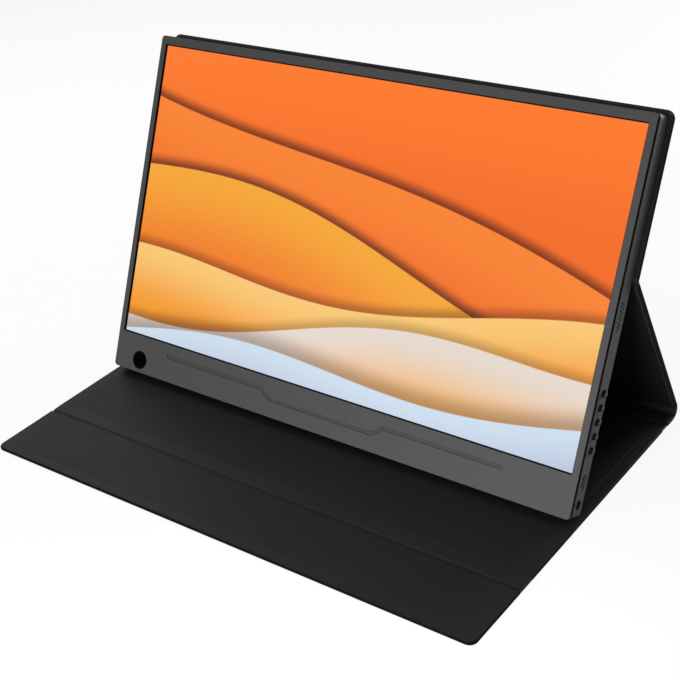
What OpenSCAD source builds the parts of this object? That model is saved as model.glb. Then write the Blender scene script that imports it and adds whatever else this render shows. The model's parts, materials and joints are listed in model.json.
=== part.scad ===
// Portable monitor in a folding leather cover, standing on the cover as an easel.
// X runs along the screen's width, Y from the front edge of the cover to its rear fold, and Z up.
// The origin is on the table, under the middle of the whole object's outline.
// Millimetres and degrees.

/* [Monitor housing] */
// Width of the monitor
mon_w = 354; // [353:0.5:356]
// Height of the monitor, from its bottom edge to its top edge
mon_h = 226; // [225:0.5:230]
// Depth of the monitor, from the bezel's face to the housing's back
mon_t = 14.6; // [14.4:0.1:15.4]
// Radius of the housing's outline corners
mon_corner_r = 2.5; // [2.5:0.5:5]
// Radius of the rear edges along the top and the foot
rear_edge_r = 3; // [2.5:0.1:3.2]
// Radius of the rear edges down the two sides
side_edge_r = 0.8; // [0.6:0.1:1.5]
// Wall of the rear housing
wall = 1.8; // [1.6:0.1:2]
// Thickness of the bezel plate
bezel_t = 1.2; // [1:0.1:1.3]
// Thickness of the bezel's rim, where it overhangs the shadow gap
bezel_rim_t = 0.5; // [0.4:0.1:0.8]
// Width of the shadow gap between the rim and the housing
seam_w = 3; // [2:0.1:3.2]
// Depth of that gap
seam_d = 0.9; // [0.5:0.1:1]

/* [Screen] */
// Width of the lit area
screen_w = 344.2; // [340:0.1:344.4]
// Height of the lit area
screen_h = 193.6; // [190:0.1:194]
// Height of the chin, from the bottom edge to the lit area
chin_h = 26.2; // [26:0.1:27]
// Black border that shows round the lit area
black_border = 0.8; // [0.5:0.1:1]

/* [Chin details] */
// Bore of the pen hole
pen_hole_d = 11.5; // [10:0.1:12]
// Distance of the pen hole's axis from the middle
pen_hole_x = 154.6; // [150:0.1:158]
// Height of the pen hole's axis above the bottom edge
pen_hole_z = 8.6; // [8.5:0.1:10]
// Wall of the pen hole's liner
liner_wall = 0.6; // [0.5:0.1:0.8]
// Half length of the engraved line
line_half = 130.5; // [120:0.1:135]
// Half length of its lowered middle
line_mid_half = 39.5; // [30:0.5:60]
// Sideways run of each slanted step
line_step = 8.5; // [6:0.5:10]
// Height of the outer stretches above the bottom edge
line_high_z = 16.9; // [15:0.1:18]
// Height of the lowered middle above the bottom edge
line_low_z = 11.3; // [9:0.1:12]
// Width of the engraved channel
line_w = 1.8; // [1.2:0.1:2.4]
// Depth of the engraving
line_depth = 0.3; // [0.2:0.05:0.5]

/* [Side controls] */
// Number of push buttons
button_count = 5; // [5:1:5]
// Height of the lowest button above the bottom edge
button_z = 40; // [39.5:0.1:41]
// Distance between buttons
button_pitch = 8.2; // [8:0.1:8.4]
// Depth of the button row behind the bezel's face
button_y = 9; // [8.8:0.1:9.1]
// Diameter of a button cap
button_d = 3.8; // [3.6:0.1:4.2]
// How far a cap stands out of the side
button_proud = 1.9; // [1.2:0.1:2]
// Travel of a button
button_travel = 0.5; // [0.3:0.1:0.6]

/* [Cover] */
// Width of the cover
cover_w = 360; // [360:0.5:366]
// Thickness of a stiffened panel
cover_t = 2.6; // [2.4:0.1:2.8]
// How far the upper panel stands over the monitor's top edge
top_overhang = 3; // [1:0.5:4]
// Radius of the cover's four outer corners
cover_corner_r = 5; // [3:0.5:8]
// Width of the hem that the skin turns over on the inner face
hem_w = 7; // [5:0.5:9]
// Height of the back crease above the monitor's bottom edge
crease_z = 135.7; // [134:0.1:138]
// Length of the whole front cover, from the spine crease to the free edge
front_cover_l = 223.4; // [220:0.1:226]
// Length of the front flap
flap_l = 48.4; // [40:0.1:50]
// Width of the flap's crease band
flap_band_w = 12; // [10:0.5:13]

/* [Stand] */
// How far the screen leans back from upright
lean = 25; // [24.5:0.1:25.5]
// Clearance of the monitor's foot above the base, and of the strut behind the housing
fold_gap = 0.4; // [0.35:0.05:0.5]

/* [Hidden] */

$fn = 48;
arc_steps = 8;
fold_steps = 16;
eps = 0.01;

// Colours
shell_grey = "#4a4a4a";
inner_black = "#18181a";
leather_black = "#2a2a2a";
lining_black = "#1f1f20";
card_grey = "#8a8378";
board_green = "#1f5c3a";
steel = "#b9bcc0";

// Depth stack inside the monitor, from the bezel's face back
gasket_t = 0.2;
cell_t = 1.2;
diffuser_t = 0.4;
guide_t = 1.8;
reflector_t = 0.2;
tray_t = 0.4;
cell_y = bezel_t + gasket_t;
diffuser_y = cell_y + cell_t;
guide_y = diffuser_y + diffuser_t;
reflector_y = guide_y + guide_t;
tray_y = reflector_y + reflector_t;
tray_back_y = tray_y + tray_t;
rear_inner_y = mon_t - wall;

// Outline of the cell, as margins round the lit area
cell_side = 2.2;
cell_top = 2.2;
cell_foot = 5;
tray_lip = 0.4;
cell_w = screen_w + 2 * cell_side;
cell_low_z = chin_h - cell_foot;
cell_high_z = chin_h + screen_h + cell_top;
window_w = screen_w + 2 * black_border;
window_h = screen_h + 2 * black_border;
window_z = chin_h + screen_h / 2;

// Side wall and what sits behind it
side_x = mon_w / 2;
side_in_x = side_x - wall;
housing_y = bezel_rim_t + seam_w;
grille_z = 116.4;
grille_y = 8.7;
grille_rows = 8;
grille_pitch = 2.2;
grille_col = 2.6;
grille_hole_d = 1.1;
port_y = 8.6;
usb_z = 21.3;
usb_w = 8.94;
usb_h = 3.26;
usb_mouth_w = 8.34;
usb_mouth_h = 2.56;
usb_depth = 7.4;
jack_z = 8;
jack_y = 8;
jack_bore_d = 3.6;
jack_nose_d = 5.6;
jack_depth = 12;
light_z = 32;
light_y = 10;
light_d = 1.4;
hdmi_z = 44;
hdmi_w = 11.2;
hdmi_h = 3.2;
power_z = 60;
port_clear = 0.25;

// Boards
pcb_t = 1.2;
button_gap = 0.4;
button_collar = 1.7;
main_y = port_y + usb_h / 2;
main_x0 = 40;
main_x1 = side_in_x - 2;
main_low_z = 5.5;
main_step_z = 30;
main_high_z = 72;
main_step_x = 150;
input_w = 46;
input_low_z = 34;
input_high_z = 70;
driver_w = 250;
driver_h = 12;
driver_y = tray_back_y + 0.3;
switch_board_x = side_in_x - 6.4;

// Fasteners and magnets
screw_head_d = 4.2;
screw_head_t = 1;
screw_d = 2;
screw_clear = 0.3;
screw_sink = 0.2;
boss_d = 6;
top_screw_z = mon_h - 7.5;
foot_screw_z = 10;
top_screw_x = [-166, -56, 56, 166];
foot_screw_x = [-168.6, -60, 66, 155];
board_screw_spots = [[46, 66], [144, 66], [134, 24]];
board_screw_d = 2.2;
standoff_d = 4.4;
magnet_d = 10;
magnet_t = 2;
plate_t = 1.1;
magnet_x = [-120, -40, 40, 120];
magnet_z = [168, 206];

// Cover panels
skin_t = 0.7;
edge_wall = 1.2;
board_t = 1.1;
lining_t = cover_t - skin_t - board_t;
back_gap_half = 2;
crease_t = 1.2;
rear_fold_t = 2;
upper_l = mon_h + top_overhang - crease_z - back_gap_half;
spine_l = mon_t - 2 * rear_edge_r;
spine_band_w = 7.2;
base_l = front_cover_l - flap_l - flap_band_w;
crease_low = (cover_t - crease_t) / 2;

// The stand is an isosceles triangle: crease axis, rear fold axis and the centre of the foot's rounding.
foot_r = rear_edge_r;
fold_r = foot_r + fold_gap;
pivot_z = cover_t + fold_r;
axis_back = foot_r + cover_t / 2;
axis_up = crease_z - foot_r;
leg = sqrt(axis_back * axis_back + axis_up * axis_up);
leg_slope = 90 - lean - atan(axis_back / axis_up);
stand_angle = 180 - 2 * leg_slope;
stand_reach = 2 * leg * cos(leg_slope);
fold_outer_r = fold_r + cover_t;
whole_l = front_cover_l + spine_band_w + spine_l + fold_outer_r;
fold_y = whole_l / 2 - fold_outer_r;
foot_y = fold_y - stand_reach;
crease_y = foot_y + leg * cos(leg_slope);
crease_world_z = pivot_z + leg * sin(leg_slope);
base_y0 = fold_y - spine_l - spine_band_w - base_l;
flap_y0 = base_y0 - flap_band_w - flap_l;
strut_turn = stand_angle - lean;

function arc(cx, cy, r, a0, a1, n = arc_steps) =
    [for (i = [0:n]) [cx + r * cos(a0 + (a1 - a0) * i / n), cy + r * sin(a0 + (a1 - a0) * i / n)]];

// Outline of a rectangle centred on the origin with round corners
function round_rect(w, h, r) = concat(
    arc(w / 2 - r, h / 2 - r, r, 0, 90), arc(-w / 2 + r, h / 2 - r, r, 90, 180),
    arc(-w / 2 + r, -h / 2 + r, r, 180, 270), arc(w / 2 - r, -h / 2 + r, r, 270, 360)
);

// One corner of a panel: an arc, or a plain point where the radius is nothing
function corner(x, y, sx, sy, r, a0) = r <= 0 ? [[x, y]] : arc(x - sx * r, y - sy * r, r, a0, a0 + 90);

// Outline of a panel from y0 to y1, with its own radius at each end
function panel_outline(w, y0, y1, r0, r1) = concat(
    corner(w / 2, y1, 1, 1, r1, 0), corner(-w / 2, y1, -1, 1, r1, 90),
    corner(-w / 2, y0, -1, -1, r0, 180), corner(w / 2, y0, 1, -1, r0, 270)
);

// One side of an open line, moved by d square to it, with mitred joints
function unit(v) = v / norm(v);
function left_of(v) = [-v[1], v[0]];
function side_of(p, d) = [for (i = [0:len(p) - 1])
    let (
        a = unit(p[max(i, 1)] - p[max(i, 1) - 1]),
        b = unit(p[min(i, len(p) - 2) + 1] - p[min(i, len(p) - 2)]),
        n = unit(left_of(a) + left_of(b))
    )
    p[i] + n * d / (n * left_of(a))];
function reversed(p) = [for (i = [len(p) - 1:-1:0]) p[i]];
function band(p, w) = concat(side_of(p, w / 2), reversed(side_of(p, -w / 2)));

// Frames of the moving groups
module in_monitor() {
    translate([0, foot_y, pivot_z]) rotate([-lean, 0, 0]) translate([0, foot_r - mon_t, -foot_r]) children();
}

module in_strut() {
    translate([0, crease_y, crease_world_z]) rotate([strut_turn, 0, 0]) children();
}

// Stands a flat outline up in the monitor's frame, between two depths
module standing(y0, y1) {
    translate([0, y1, 0]) rotate([90, 0, 0]) linear_extrude(y1 - y0) children();
}

module block(x0, x1, y0, y1, z0, z1) {
    translate([x0, y0, z0]) cube([x1 - x0, y1 - y0, z1 - z0]);
}

module rod_y(x, z, d, y0, y1) {
    translate([x, y1, z]) rotate([90, 0, 0]) cylinder(d = d, h = y1 - y0);
}

module rod_x(y, z, d, x0, x1) {
    translate([x0, y, z]) rotate([0, 90, 0]) cylinder(d = d, h = x1 - x0);
}

// A bar with two round long sides, lying along Z in the side wall
module slot_x(y, z, w, h, x0, x1) {
    rod_x(y, z - (w - h) / 2, h, x0, x1);
    rod_x(y, z + (w - h) / 2, h, x0, x1);
    block(x0, x1, y - h / 2, y + h / 2, z - (w - h) / 2, z + (w - h) / 2);
}

/* ---- Monitor ---- */

// The housing's outer body, or its hollow when it is inset
module shell_body(inset, y0, y1, r, side_r) {
    w = mon_w - 2 * inset;
    intersection() {
        outline_plate(inset, y0, y1);
        translate([-w / 2, 0, 0]) rotate([90, 0, 90]) linear_extrude(w) polygon(concat(
            [[y0, inset]], arc(y1 - r, inset + r, r, 270, 360), arc(y1 - r, mon_h - inset - r, r, 0, 90),
            [[y0, mon_h - inset]]
        ));
        linear_extrude(mon_h) polygon(concat(
            [[-w / 2, y0], [w / 2, y0]], arc(w / 2 - side_r, y1 - side_r, side_r, 0, 90),
            arc(-w / 2 + side_r, y1 - side_r, side_r, 90, 180)
        ));
    }
}

module engraved_line() {
    polygon(band([
        [-line_half, line_high_z], [-line_mid_half - line_step, line_high_z], [-line_mid_half, line_low_z],
        [line_mid_half, line_low_z], [line_mid_half + line_step, line_high_z], [line_half, line_high_z]
    ], line_w));
}

// The monitor's outline, inset all round, between two depths
module outline_plate(inset, y0, y1) {
    translate([0, 0, mon_h / 2]) standing(y0, y1)
        polygon(round_rect(mon_w - 2 * inset, mon_h - 2 * inset, mon_corner_r - inset));
}

module front_bezel() {
    color(shell_grey) in_monitor() difference() {
        union() {
            outline_plate(0, 0, bezel_rim_t);
            outline_plate(seam_d, 0, bezel_t);
        }
        translate([0, 0, window_z]) standing(-1, bezel_t + 1) polygon(round_rect(window_w, window_h, 1));
        standing(-1, line_depth) engraved_line();
        rod_y(-pen_hole_x, pen_hole_z, pen_hole_d + 2 * liner_wall, -1, bezel_t + 1);
    }
}

// Right-hand row of holes, from the front column's highest hole down
module speaker_holes(x0, x1) {
    for (i = [0:grille_rows - 1]) {
        z = grille_z + (grille_rows - 1) * grille_pitch / 2 - i * grille_pitch;
        rod_x(grille_y - grille_col / 2, z, grille_hole_d, x0, x1);
        if (i < grille_rows - 1)
            rod_x(grille_y + grille_col / 2, z - grille_pitch / 2, grille_hole_d, x0, x1);
    }
}

// The case screws: the top row threads into the backlight tray, the foot row into bosses
module top_screws() {
    for (x = top_screw_x) screw_at(x, top_screw_z, tray_back_y);
}

module foot_screws() {
    for (x = foot_screw_x) screw_at(x, foot_screw_z, bezel_t + 4);
}

module screw_at(x, z, y_end) {
    head_y = mon_t - screw_sink - screw_head_t;
    difference() {
        union() {
            rod_y(x, z, screw_head_d, head_y, mon_t - screw_sink);
            rod_y(x, z, screw_d, y_end, head_y + eps);
        }
        block(x - 0.9, x + 0.9, mon_t - 0.7, mon_t, z - 0.25, z + 0.25);
        block(x - 0.25, x + 0.25, mon_t - 0.7, mon_t, z - 0.9, z + 0.9);
    }
}

// The stepped hole for one screw, right through its boss
module screw_hole(x, z, y_end) {
    rod_y(x, z, screw_head_d + screw_clear, mon_t - screw_sink - screw_head_t, mon_t + 1);
    rod_y(x, z, screw_d, y_end, mon_t);
}

module bosses() {
    for (x = top_screw_x) rod_y(x, top_screw_z, boss_d, tray_back_y, rear_inner_y + eps);
    for (x = foot_screw_x) rod_y(x, foot_screw_z, boss_d, bezel_t, rear_inner_y + eps);
    rod_y(-pen_hole_x, pen_hole_z, pen_hole_d + 2 * liner_wall + 3, bezel_t, rear_inner_y + eps);
}

// The openings in a side wall, between two distances from the middle
module right_openings(x0, x1) {
    for (i = [0:button_count - 1])
        rod_x(button_y, button_z + i * button_pitch, button_d + 2 * button_gap, x0, x1);
    rod_x(light_y, light_z, light_d + 0.1, x0, x1);
    rod_x(jack_y, jack_z, jack_nose_d + 2 * port_clear, x0, x1);
    slot_x(port_y, usb_z, usb_w + 2 * port_clear, usb_h + 2 * port_clear, x0, x1);
    speaker_holes(x0, x1);
}

module left_openings(x0, x1) {
    hole_w = hdmi_w + 2 * port_clear;
    hole_h = hdmi_h + 2 * port_clear;
    slot_x(port_y, power_z, usb_w + 2 * port_clear, usb_h + 2 * port_clear, x0, x1);
    block(x0, x1, port_y - hole_h / 2, port_y + hole_h / 2, hdmi_z - hole_w / 2, hdmi_z + hole_w / 2);
    speaker_holes(x0, x1);
}

module rear_housing() {
    color(shell_grey) in_monitor() difference() {
        union() {
            difference() {
                union() {
                    shell_body(0, housing_y, mon_t, rear_edge_r, side_edge_r);
                    outline_plate(seam_d, bezel_t, housing_y + eps);
                }
                shell_body(wall, bezel_t - 1, rear_inner_y, 1, 1);
            }
            intersection() {
                bosses();
                outline_plate(seam_d, bezel_t, mon_t);
            }
        }
        rod_y(-pen_hole_x, pen_hole_z, pen_hole_d + 2 * liner_wall, bezel_t - 1, mon_t + 1);
        for (x = top_screw_x) screw_hole(x, top_screw_z, tray_back_y - 1);
        for (x = foot_screw_x) screw_hole(x, foot_screw_z, bezel_t + 4);
        right_openings(side_in_x - 1, side_x + 1);
        mirror([1, 0, 0]) left_openings(side_in_x - 1, side_x + 1);
    }
}

module pen_hole_liner() {
    color(inner_black) in_monitor() difference() {
        rod_y(-pen_hole_x, pen_hole_z, pen_hole_d + 2 * liner_wall, 0, mon_t);
        rod_y(-pen_hole_x, pen_hole_z, pen_hole_d, -1, mon_t + 1);
    }
}

module lcd_cell() {
    color("#d98324") in_monitor() block(-cell_w / 2, cell_w / 2, cell_y, diffuser_y, cell_low_z, cell_high_z);
}

module foam_gasket() {
    color(inner_black) in_monitor() difference() {
        block(-cell_w / 2, cell_w / 2, bezel_t, cell_y, cell_low_z, cell_high_z);
        translate([0, 0, window_z]) standing(bezel_t - 1, cell_y + 1)
            square([window_w + 0.4, window_h + 0.4], center = true);
    }
}

// A flat sheet behind the cell; the light guide and its sheets share this outline
module optical_sheet(y0, y1) {
    block(-cell_w / 2 + 1, cell_w / 2 - 1, y0, y1, cell_low_z + 3, cell_high_z - 1);
}

module diffuser_sheet() {
    color("#f2f2ee") in_monitor() optical_sheet(diffuser_y, guide_y);
}

module light_guide() {
    color("#dfe9f2") in_monitor() optical_sheet(guide_y, reflector_y);
}

module reflector_sheet() {
    color("#fafafa") in_monitor() optical_sheet(reflector_y, tray_y);
}

// A shallow steel tray with standoffs for the main board
module backlight_tray() {
    color(steel) in_monitor() {
        difference() {
            block(-cell_w / 2 - tray_lip, cell_w / 2 + tray_lip, diffuser_y, tray_back_y,
                cell_low_z - tray_lip, cell_high_z + tray_lip);
            block(-cell_w / 2, cell_w / 2, diffuser_y - 1, tray_y, cell_low_z, cell_high_z);
        }
        for (s = board_screw_spots) difference() {
            rod_y(s[0], s[1], standoff_d, tray_back_y - eps, main_y);
            rod_y(s[0], s[1], board_screw_d, tray_back_y + 0.5, main_y + 1);
        }
    }
}

module led_bar() {
    color("#f6e7b0") in_monitor() {
        block(-cell_w / 2 + 4, cell_w / 2 - 4, guide_y, reflector_y, cell_low_z + 0.3, cell_low_z + 1.3);
        for (x = [-160:20:160])
            block(x - 2, x + 2, guide_y + 0.3, reflector_y - 0.3, cell_low_z + 1.3, cell_low_z + 2.8);
    }
}

module driver_board() {
    color(board_green) in_monitor() {
        block(-driver_w / 2, driver_w / 2, driver_y, driver_y + 1, cell_low_z + 3, cell_low_z + 3 + driver_h);
        for (x = [-70, 0, 60])
            block(x - 5, x + 5, driver_y + 1, driver_y + 1.8, cell_low_z + 5, cell_low_z + 13);
    }
}

// Flat flexes that leave the cell's foot, pass under the tray's lip and end on the driver board
module panel_flexes() {
    out_z = cell_low_z - tray_lip - 0.6;
    color("#b5762a") in_monitor() for (x = [-60, 60]) {
        block(x - 15, x + 15, cell_y + 0.4, cell_y + 0.6, out_z, cell_low_z);
        block(x - 15, x + 15, cell_y + 0.4, driver_y + 0.8, out_z - 0.2, out_z);
        block(x - 15, x + 15, driver_y + 0.6, driver_y + 0.8, out_z, cell_low_z + 3);
    }
}

module main_board() {
    color(board_green) in_monitor() difference() {
        union() {
            standing(main_y, main_y + pcb_t) polygon([
                [main_x0, main_low_z], [main_x1, main_low_z], [main_x1, main_step_z],
                [main_step_x, main_step_z], [main_step_x, main_high_z], [main_x0, main_high_z]
            ]);
            block(80, 96, main_y + pcb_t, main_y + pcb_t + 1.1, 36, 52);
            block(112, 122, main_y + pcb_t, main_y + pcb_t + 1, 40, 50);
            for (x = [56, 66, 132]) rod_y(x, 60, 5, main_y + pcb_t, main_y + pcb_t + 1.1);
        }
        for (s = board_screw_spots) rod_y(s[0], s[1], board_screw_d, main_y - 1, main_y + pcb_t + 1);
        for (x = foot_screw_x)
            if (x > main_x0) rod_y(x, foot_screw_z, boss_d + 1, main_y - 1, main_y + pcb_t + 1);
    }
}

module input_board() {
    color(board_green) in_monitor() {
        block(-side_in_x + 0.6, -side_in_x + input_w, main_y, main_y + pcb_t, input_low_z, input_high_z);
        block(-side_in_x + 22, -side_in_x + 32, main_y + pcb_t, main_y + pcb_t + 1, 46, 56);
    }
}

module link_cable() {
    color("#d8d2c0") in_monitor()
        block(-side_in_x + input_w + 0.2, main_x0 - 0.2, main_y + 0.4, main_y + 0.7, 46, 58);
}

// A USB-C shell with its tongue, mouth towards +X
module usb_c(z) {
    mouth_x = side_x - 0.5;
    difference() {
        slot_x(port_y, z, usb_w, usb_h, mouth_x - usb_depth, mouth_x);
        slot_x(port_y, z, usb_mouth_w, usb_mouth_h, mouth_x - usb_depth + 1, mouth_x + 1);
    }
    block(mouth_x - usb_depth + 1 - eps, mouth_x - 1.2, port_y - 0.35, port_y + 0.35, z - 3.35, z + 3.35);
}

module usb_c_socket() {
    color(steel) in_monitor() usb_c(usb_z);
}

module usb_c_power_socket() {
    color(steel) in_monitor() mirror([1, 0, 0]) usb_c(power_z);
}

module mini_hdmi_socket() {
    mouth_x = side_x - 0.5;
    back_x = mouth_x - 7.4;
    color(steel) in_monitor() mirror([1, 0, 0]) {
        difference() {
            block(back_x, mouth_x, port_y - hdmi_h / 2, port_y + hdmi_h / 2,
                hdmi_z - hdmi_w / 2, hdmi_z + hdmi_w / 2);
            block(back_x + 1, mouth_x + 1, port_y - hdmi_h / 2 + 0.35, port_y + hdmi_h / 2 - 0.35,
                hdmi_z - hdmi_w / 2 + 0.35, hdmi_z + hdmi_w / 2 - 0.35);
        }
        block(back_x + 1 - eps, mouth_x - 1.5, port_y - 0.3, port_y + 0.3, hdmi_z - 3.8, hdmi_z + 3.8);
    }
}

module headphone_socket() {
    nose_x = side_x - 0.4;
    body_x = side_in_x - 0.6;
    color("#2b2b2d") in_monitor() difference() {
        union() {
            rod_x(jack_y, jack_z, jack_nose_d, body_x - 1, nose_x);
            block(nose_x - jack_depth - 1.5, body_x, jack_y - 2.7, main_y, jack_z - 2.9, jack_z + 2.9);
        }
        rod_x(jack_y, jack_z, jack_bore_d, nose_x - jack_depth, nose_x + 1);
    }
}

module status_light() {
    color("#e8eef2") in_monitor() rod_x(light_y, light_z, light_d, switch_board_x + 1.4, side_x - 0.1);
}

module button_board() {
    top_z = button_z + (button_count - 1) * button_pitch + 5;
    color(board_green) in_monitor()
        block(switch_board_x, switch_board_x + 1, button_y - 2.8, rear_inner_y - 0.3, main_step_z + 1, top_z);
}

module tact_switches() {
    color("#303034") in_monitor() for (i = [0:button_count - 1]) {
        z = button_z + i * button_pitch;
        block(switch_board_x + 1, switch_board_x + 2.8, button_y - 2, button_y + 2, z - 2, z + 2);
        rod_x(button_y, z, 1.8, switch_board_x + 2.8, switch_board_x + 3.2);
    }
}

// A cap with a collar inside the wall that keeps it from falling out
module push_button(i) {
    z = button_z + i * button_pitch;
    collar_x = side_in_x - 0.1;
    back_x = switch_board_x + 3.2 + button_travel + 0.1;
    color("#525252") in_monitor() {
        rod_x(button_y, z, button_d, back_x + 0.2, side_x + button_proud);
        rod_x(button_y, z, button_d + button_collar, collar_x - 0.7, collar_x);
        rod_x(button_y, z, 2, back_x, back_x + 0.3);
    }
}

module button_1() { push_button(0); }
module button_2() { push_button(1); }
module button_3() { push_button(2); }
module button_4() { push_button(3); }
module button_5() { push_button(4); }

module speaker() {
    front_x = side_in_x - 0.5;
    difference() {
        block(front_x - 12, front_x, tray_back_y + 0.4, rear_inner_y - 0.3, grille_z - 17, grille_z + 17);
        block(front_x - 1.2, front_x + 1, grille_y - 2.4, grille_y + 2.4, grille_z - 10, grille_z + 10);
    }
}

module speaker_right() {
    color("#26262a") in_monitor() speaker();
}

module speaker_left() {
    color("#26262a") in_monitor() mirror([1, 0, 0]) speaker();
}

module speaker_mesh() {
    block(side_in_x - 0.3, side_in_x, grille_y - 3, grille_y + 3, grille_z - 10.5, grille_z + 10.5);
}

module speaker_mesh_right() {
    color("#101012") in_monitor() speaker_mesh();
}

module speaker_mesh_left() {
    color("#101012") in_monitor() mirror([1, 0, 0]) speaker_mesh();
}

module housing_screws() {
    color(steel) in_monitor() {
        top_screws();
        foot_screws();
    }
}

module board_screws() {
    color(steel) in_monitor() for (s = board_screw_spots) {
        rod_y(s[0], s[1], 3.6, main_y + pcb_t, main_y + pcb_t + 0.8);
        rod_y(s[0], s[1], board_screw_d, tray_back_y + 0.5, main_y + pcb_t + eps);
    }
}

module housing_magnets() {
    color(steel) in_monitor() for (x = magnet_x, z = magnet_z)
        rod_y(x, z, magnet_d, rear_inner_y - magnet_t, rear_inner_y);
}

/* ---- Cover ---- */

// One stiff panel in its own frame: outer face on Z = 0, inner face on Z = cover_t, from y = 0 to y = l.
// The skin wraps the board's edges and turns over on the inner face as a hem round the lining.
module skin(l, r0 = 0, r1 = 0) {
    hem = min(hem_w, l / 2 - 1.4);
    difference() {
        linear_extrude(cover_t) polygon(panel_outline(cover_w, 0, l, r0, r1));
        translate([0, 0, skin_t]) linear_extrude(board_t) board_outline(l, r0, r1);
        translate([0, 0, skin_t + board_t]) linear_extrude(cover_t) lining_outline(l, hem);
    }
}

module board_outline(l, r0, r1) {
    polygon(panel_outline(cover_w - 2 * edge_wall, edge_wall, l - edge_wall,
        r0 > 0 ? r0 - edge_wall : 0, r1 > 0 ? r1 - edge_wall : 0));
}

module lining_outline(l, hem) {
    polygon(panel_outline(cover_w - 2 * hem, hem, l - hem, 0, 0));
}

module board(l, r0 = 0, r1 = 0) {
    translate([0, 0, skin_t]) linear_extrude(board_t) board_outline(l, r0, r1);
}

module lining(l) {
    translate([0, 0, skin_t + board_t]) linear_extrude(lining_t) lining_outline(l, min(hem_w, l / 2 - 1.4));
}

// Where each panel lies
module at_upper() {
    in_monitor() translate([0, mon_t + cover_t, crease_z + back_gap_half]) rotate([90, 0, 0]) children();
}

module at_strut() {
    in_strut() translate([0, cover_t / 2 + fold_gap, -axis_up]) rotate([90, 0, 0]) children();
}

module at_spine() {
    translate([0, fold_y - spine_l, 0]) children();
}

module at_base() {
    translate([0, base_y0, 0]) children();
}

module at_flap() {
    translate([0, flap_y0, 0]) children();
}

strut_l = axis_up - back_gap_half;

module upper_skin() { color(leather_black) at_upper() skin(upper_l, 0, cover_corner_r); }
module upper_lining() { color(lining_black) at_upper() lining(upper_l); }

module upper_board() {
    color(card_grey) at_upper() difference() {
        board(upper_l, 0, cover_corner_r);
        cover_magnet_discs(0.2);
    }
}

// Steel discs let into the upper board, in line with the housing's magnets
module cover_magnet_discs(clear) {
    for (x = magnet_x, z = magnet_z)
        translate([x, z - crease_z - back_gap_half, skin_t]) cylinder(d = magnet_d + clear, h = plate_t);
}

module cover_magnets() { color(steel) at_upper() cover_magnet_discs(0); }

module strut_skin() { color(leather_black) at_strut() skin(strut_l); }
module strut_board() { color(card_grey) at_strut() board(strut_l); }
module strut_lining() { color(lining_black) at_strut() lining(strut_l); }

module spine_skin() { color(leather_black) at_spine() skin(spine_l); }
module spine_board() { color(card_grey) at_spine() board(spine_l); }
module spine_lining() { color(lining_black) at_spine() lining(spine_l); }

module base_skin() { color(leather_black) at_base() skin(base_l); }
module base_board() { color(card_grey) at_base() board(base_l); }
module base_lining() { color(lining_black) at_base() lining(base_l); }

module flap_skin() { color(leather_black) at_flap() skin(flap_l, cover_corner_r, 0); }
module flap_board() { color(card_grey) at_flap() board(flap_l, cover_corner_r, 0); }
module flap_lining() { color(lining_black) at_flap() lining(flap_l); }

/* ---- Creases, the two skins bonded with no board between them ---- */

// A thin bent strip drawn in the Y-Z plane and run across the whole cover
module cross_strip(points) {
    translate([-cover_w / 2, 0, 0]) rotate([90, 0, 90]) linear_extrude(cover_w) polygon(points);
}

module back_crease() {
    lower = [[fold_gap, -back_gap_half], [fold_gap, 0.4 - back_gap_half], [0, -0.4]];
    turned = [for (p = lower) [p[0] * cos(stand_angle) - p[1] * sin(stand_angle),
        p[0] * sin(stand_angle) + p[1] * cos(stand_angle)]];
    color(leather_black) in_monitor() translate([0, mon_t + cover_t / 2, crease_z])
        cross_strip(band(concat(turned, [[0, 0.4], [0, back_gap_half]]), crease_t));
}

module rear_fold() {
    end_turn = 360 + strut_turn;
    color(leather_black) translate([0, fold_y, pivot_z]) cross_strip(concat(
        arc(0, 0, fold_outer_r, 270, end_turn, fold_steps),
        arc(0, 0, fold_outer_r - rear_fold_t, end_turn, 270, fold_steps)
    ));
}

module flat_crease(y0, w) {
    translate([-cover_w / 2, y0, crease_low]) cube([cover_w, w, crease_t]);
}

module spine_crease() { color(leather_black) flat_crease(base_y0 + base_l, spine_band_w); }
module flap_crease() { color(leather_black) flat_crease(base_y0 - flap_band_w, flap_band_w); }

front_bezel();
rear_housing();
pen_hole_liner();
lcd_cell();
foam_gasket();
diffuser_sheet();
light_guide();
reflector_sheet();
backlight_tray();
led_bar();
driver_board();
panel_flexes();
main_board();
input_board();
link_cable();
usb_c_socket();
headphone_socket();
mini_hdmi_socket();
usb_c_power_socket();
status_light();
button_board();
tact_switches();
speaker_right();
speaker_left();
speaker_mesh_right();
speaker_mesh_left();
housing_screws();
board_screws();
housing_magnets();
cover_magnets();
button_1();
button_2();
button_3();
button_4();
button_5();
upper_skin();
upper_board();
upper_lining();
strut_skin();
strut_board();
strut_lining();
spine_skin();
spine_board();
spine_lining();
base_skin();
base_board();
base_lining();
flap_skin();
flap_board();
flap_lining();
back_crease();
rear_fold();
spine_crease();
flap_crease();
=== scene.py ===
"""Looks of a portable monitor that leans in its folding leather cover.

Lengths inside the classes are millimetres in the frame that each sub-assembly states;
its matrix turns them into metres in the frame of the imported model.
"""

import json
import logging
import math
from dataclasses import dataclass, field
from enum import Enum
from typing import Any, Callable, Iterable, Sequence

import bmesh
import bpy
from mathutils import Matrix, Vector

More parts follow.
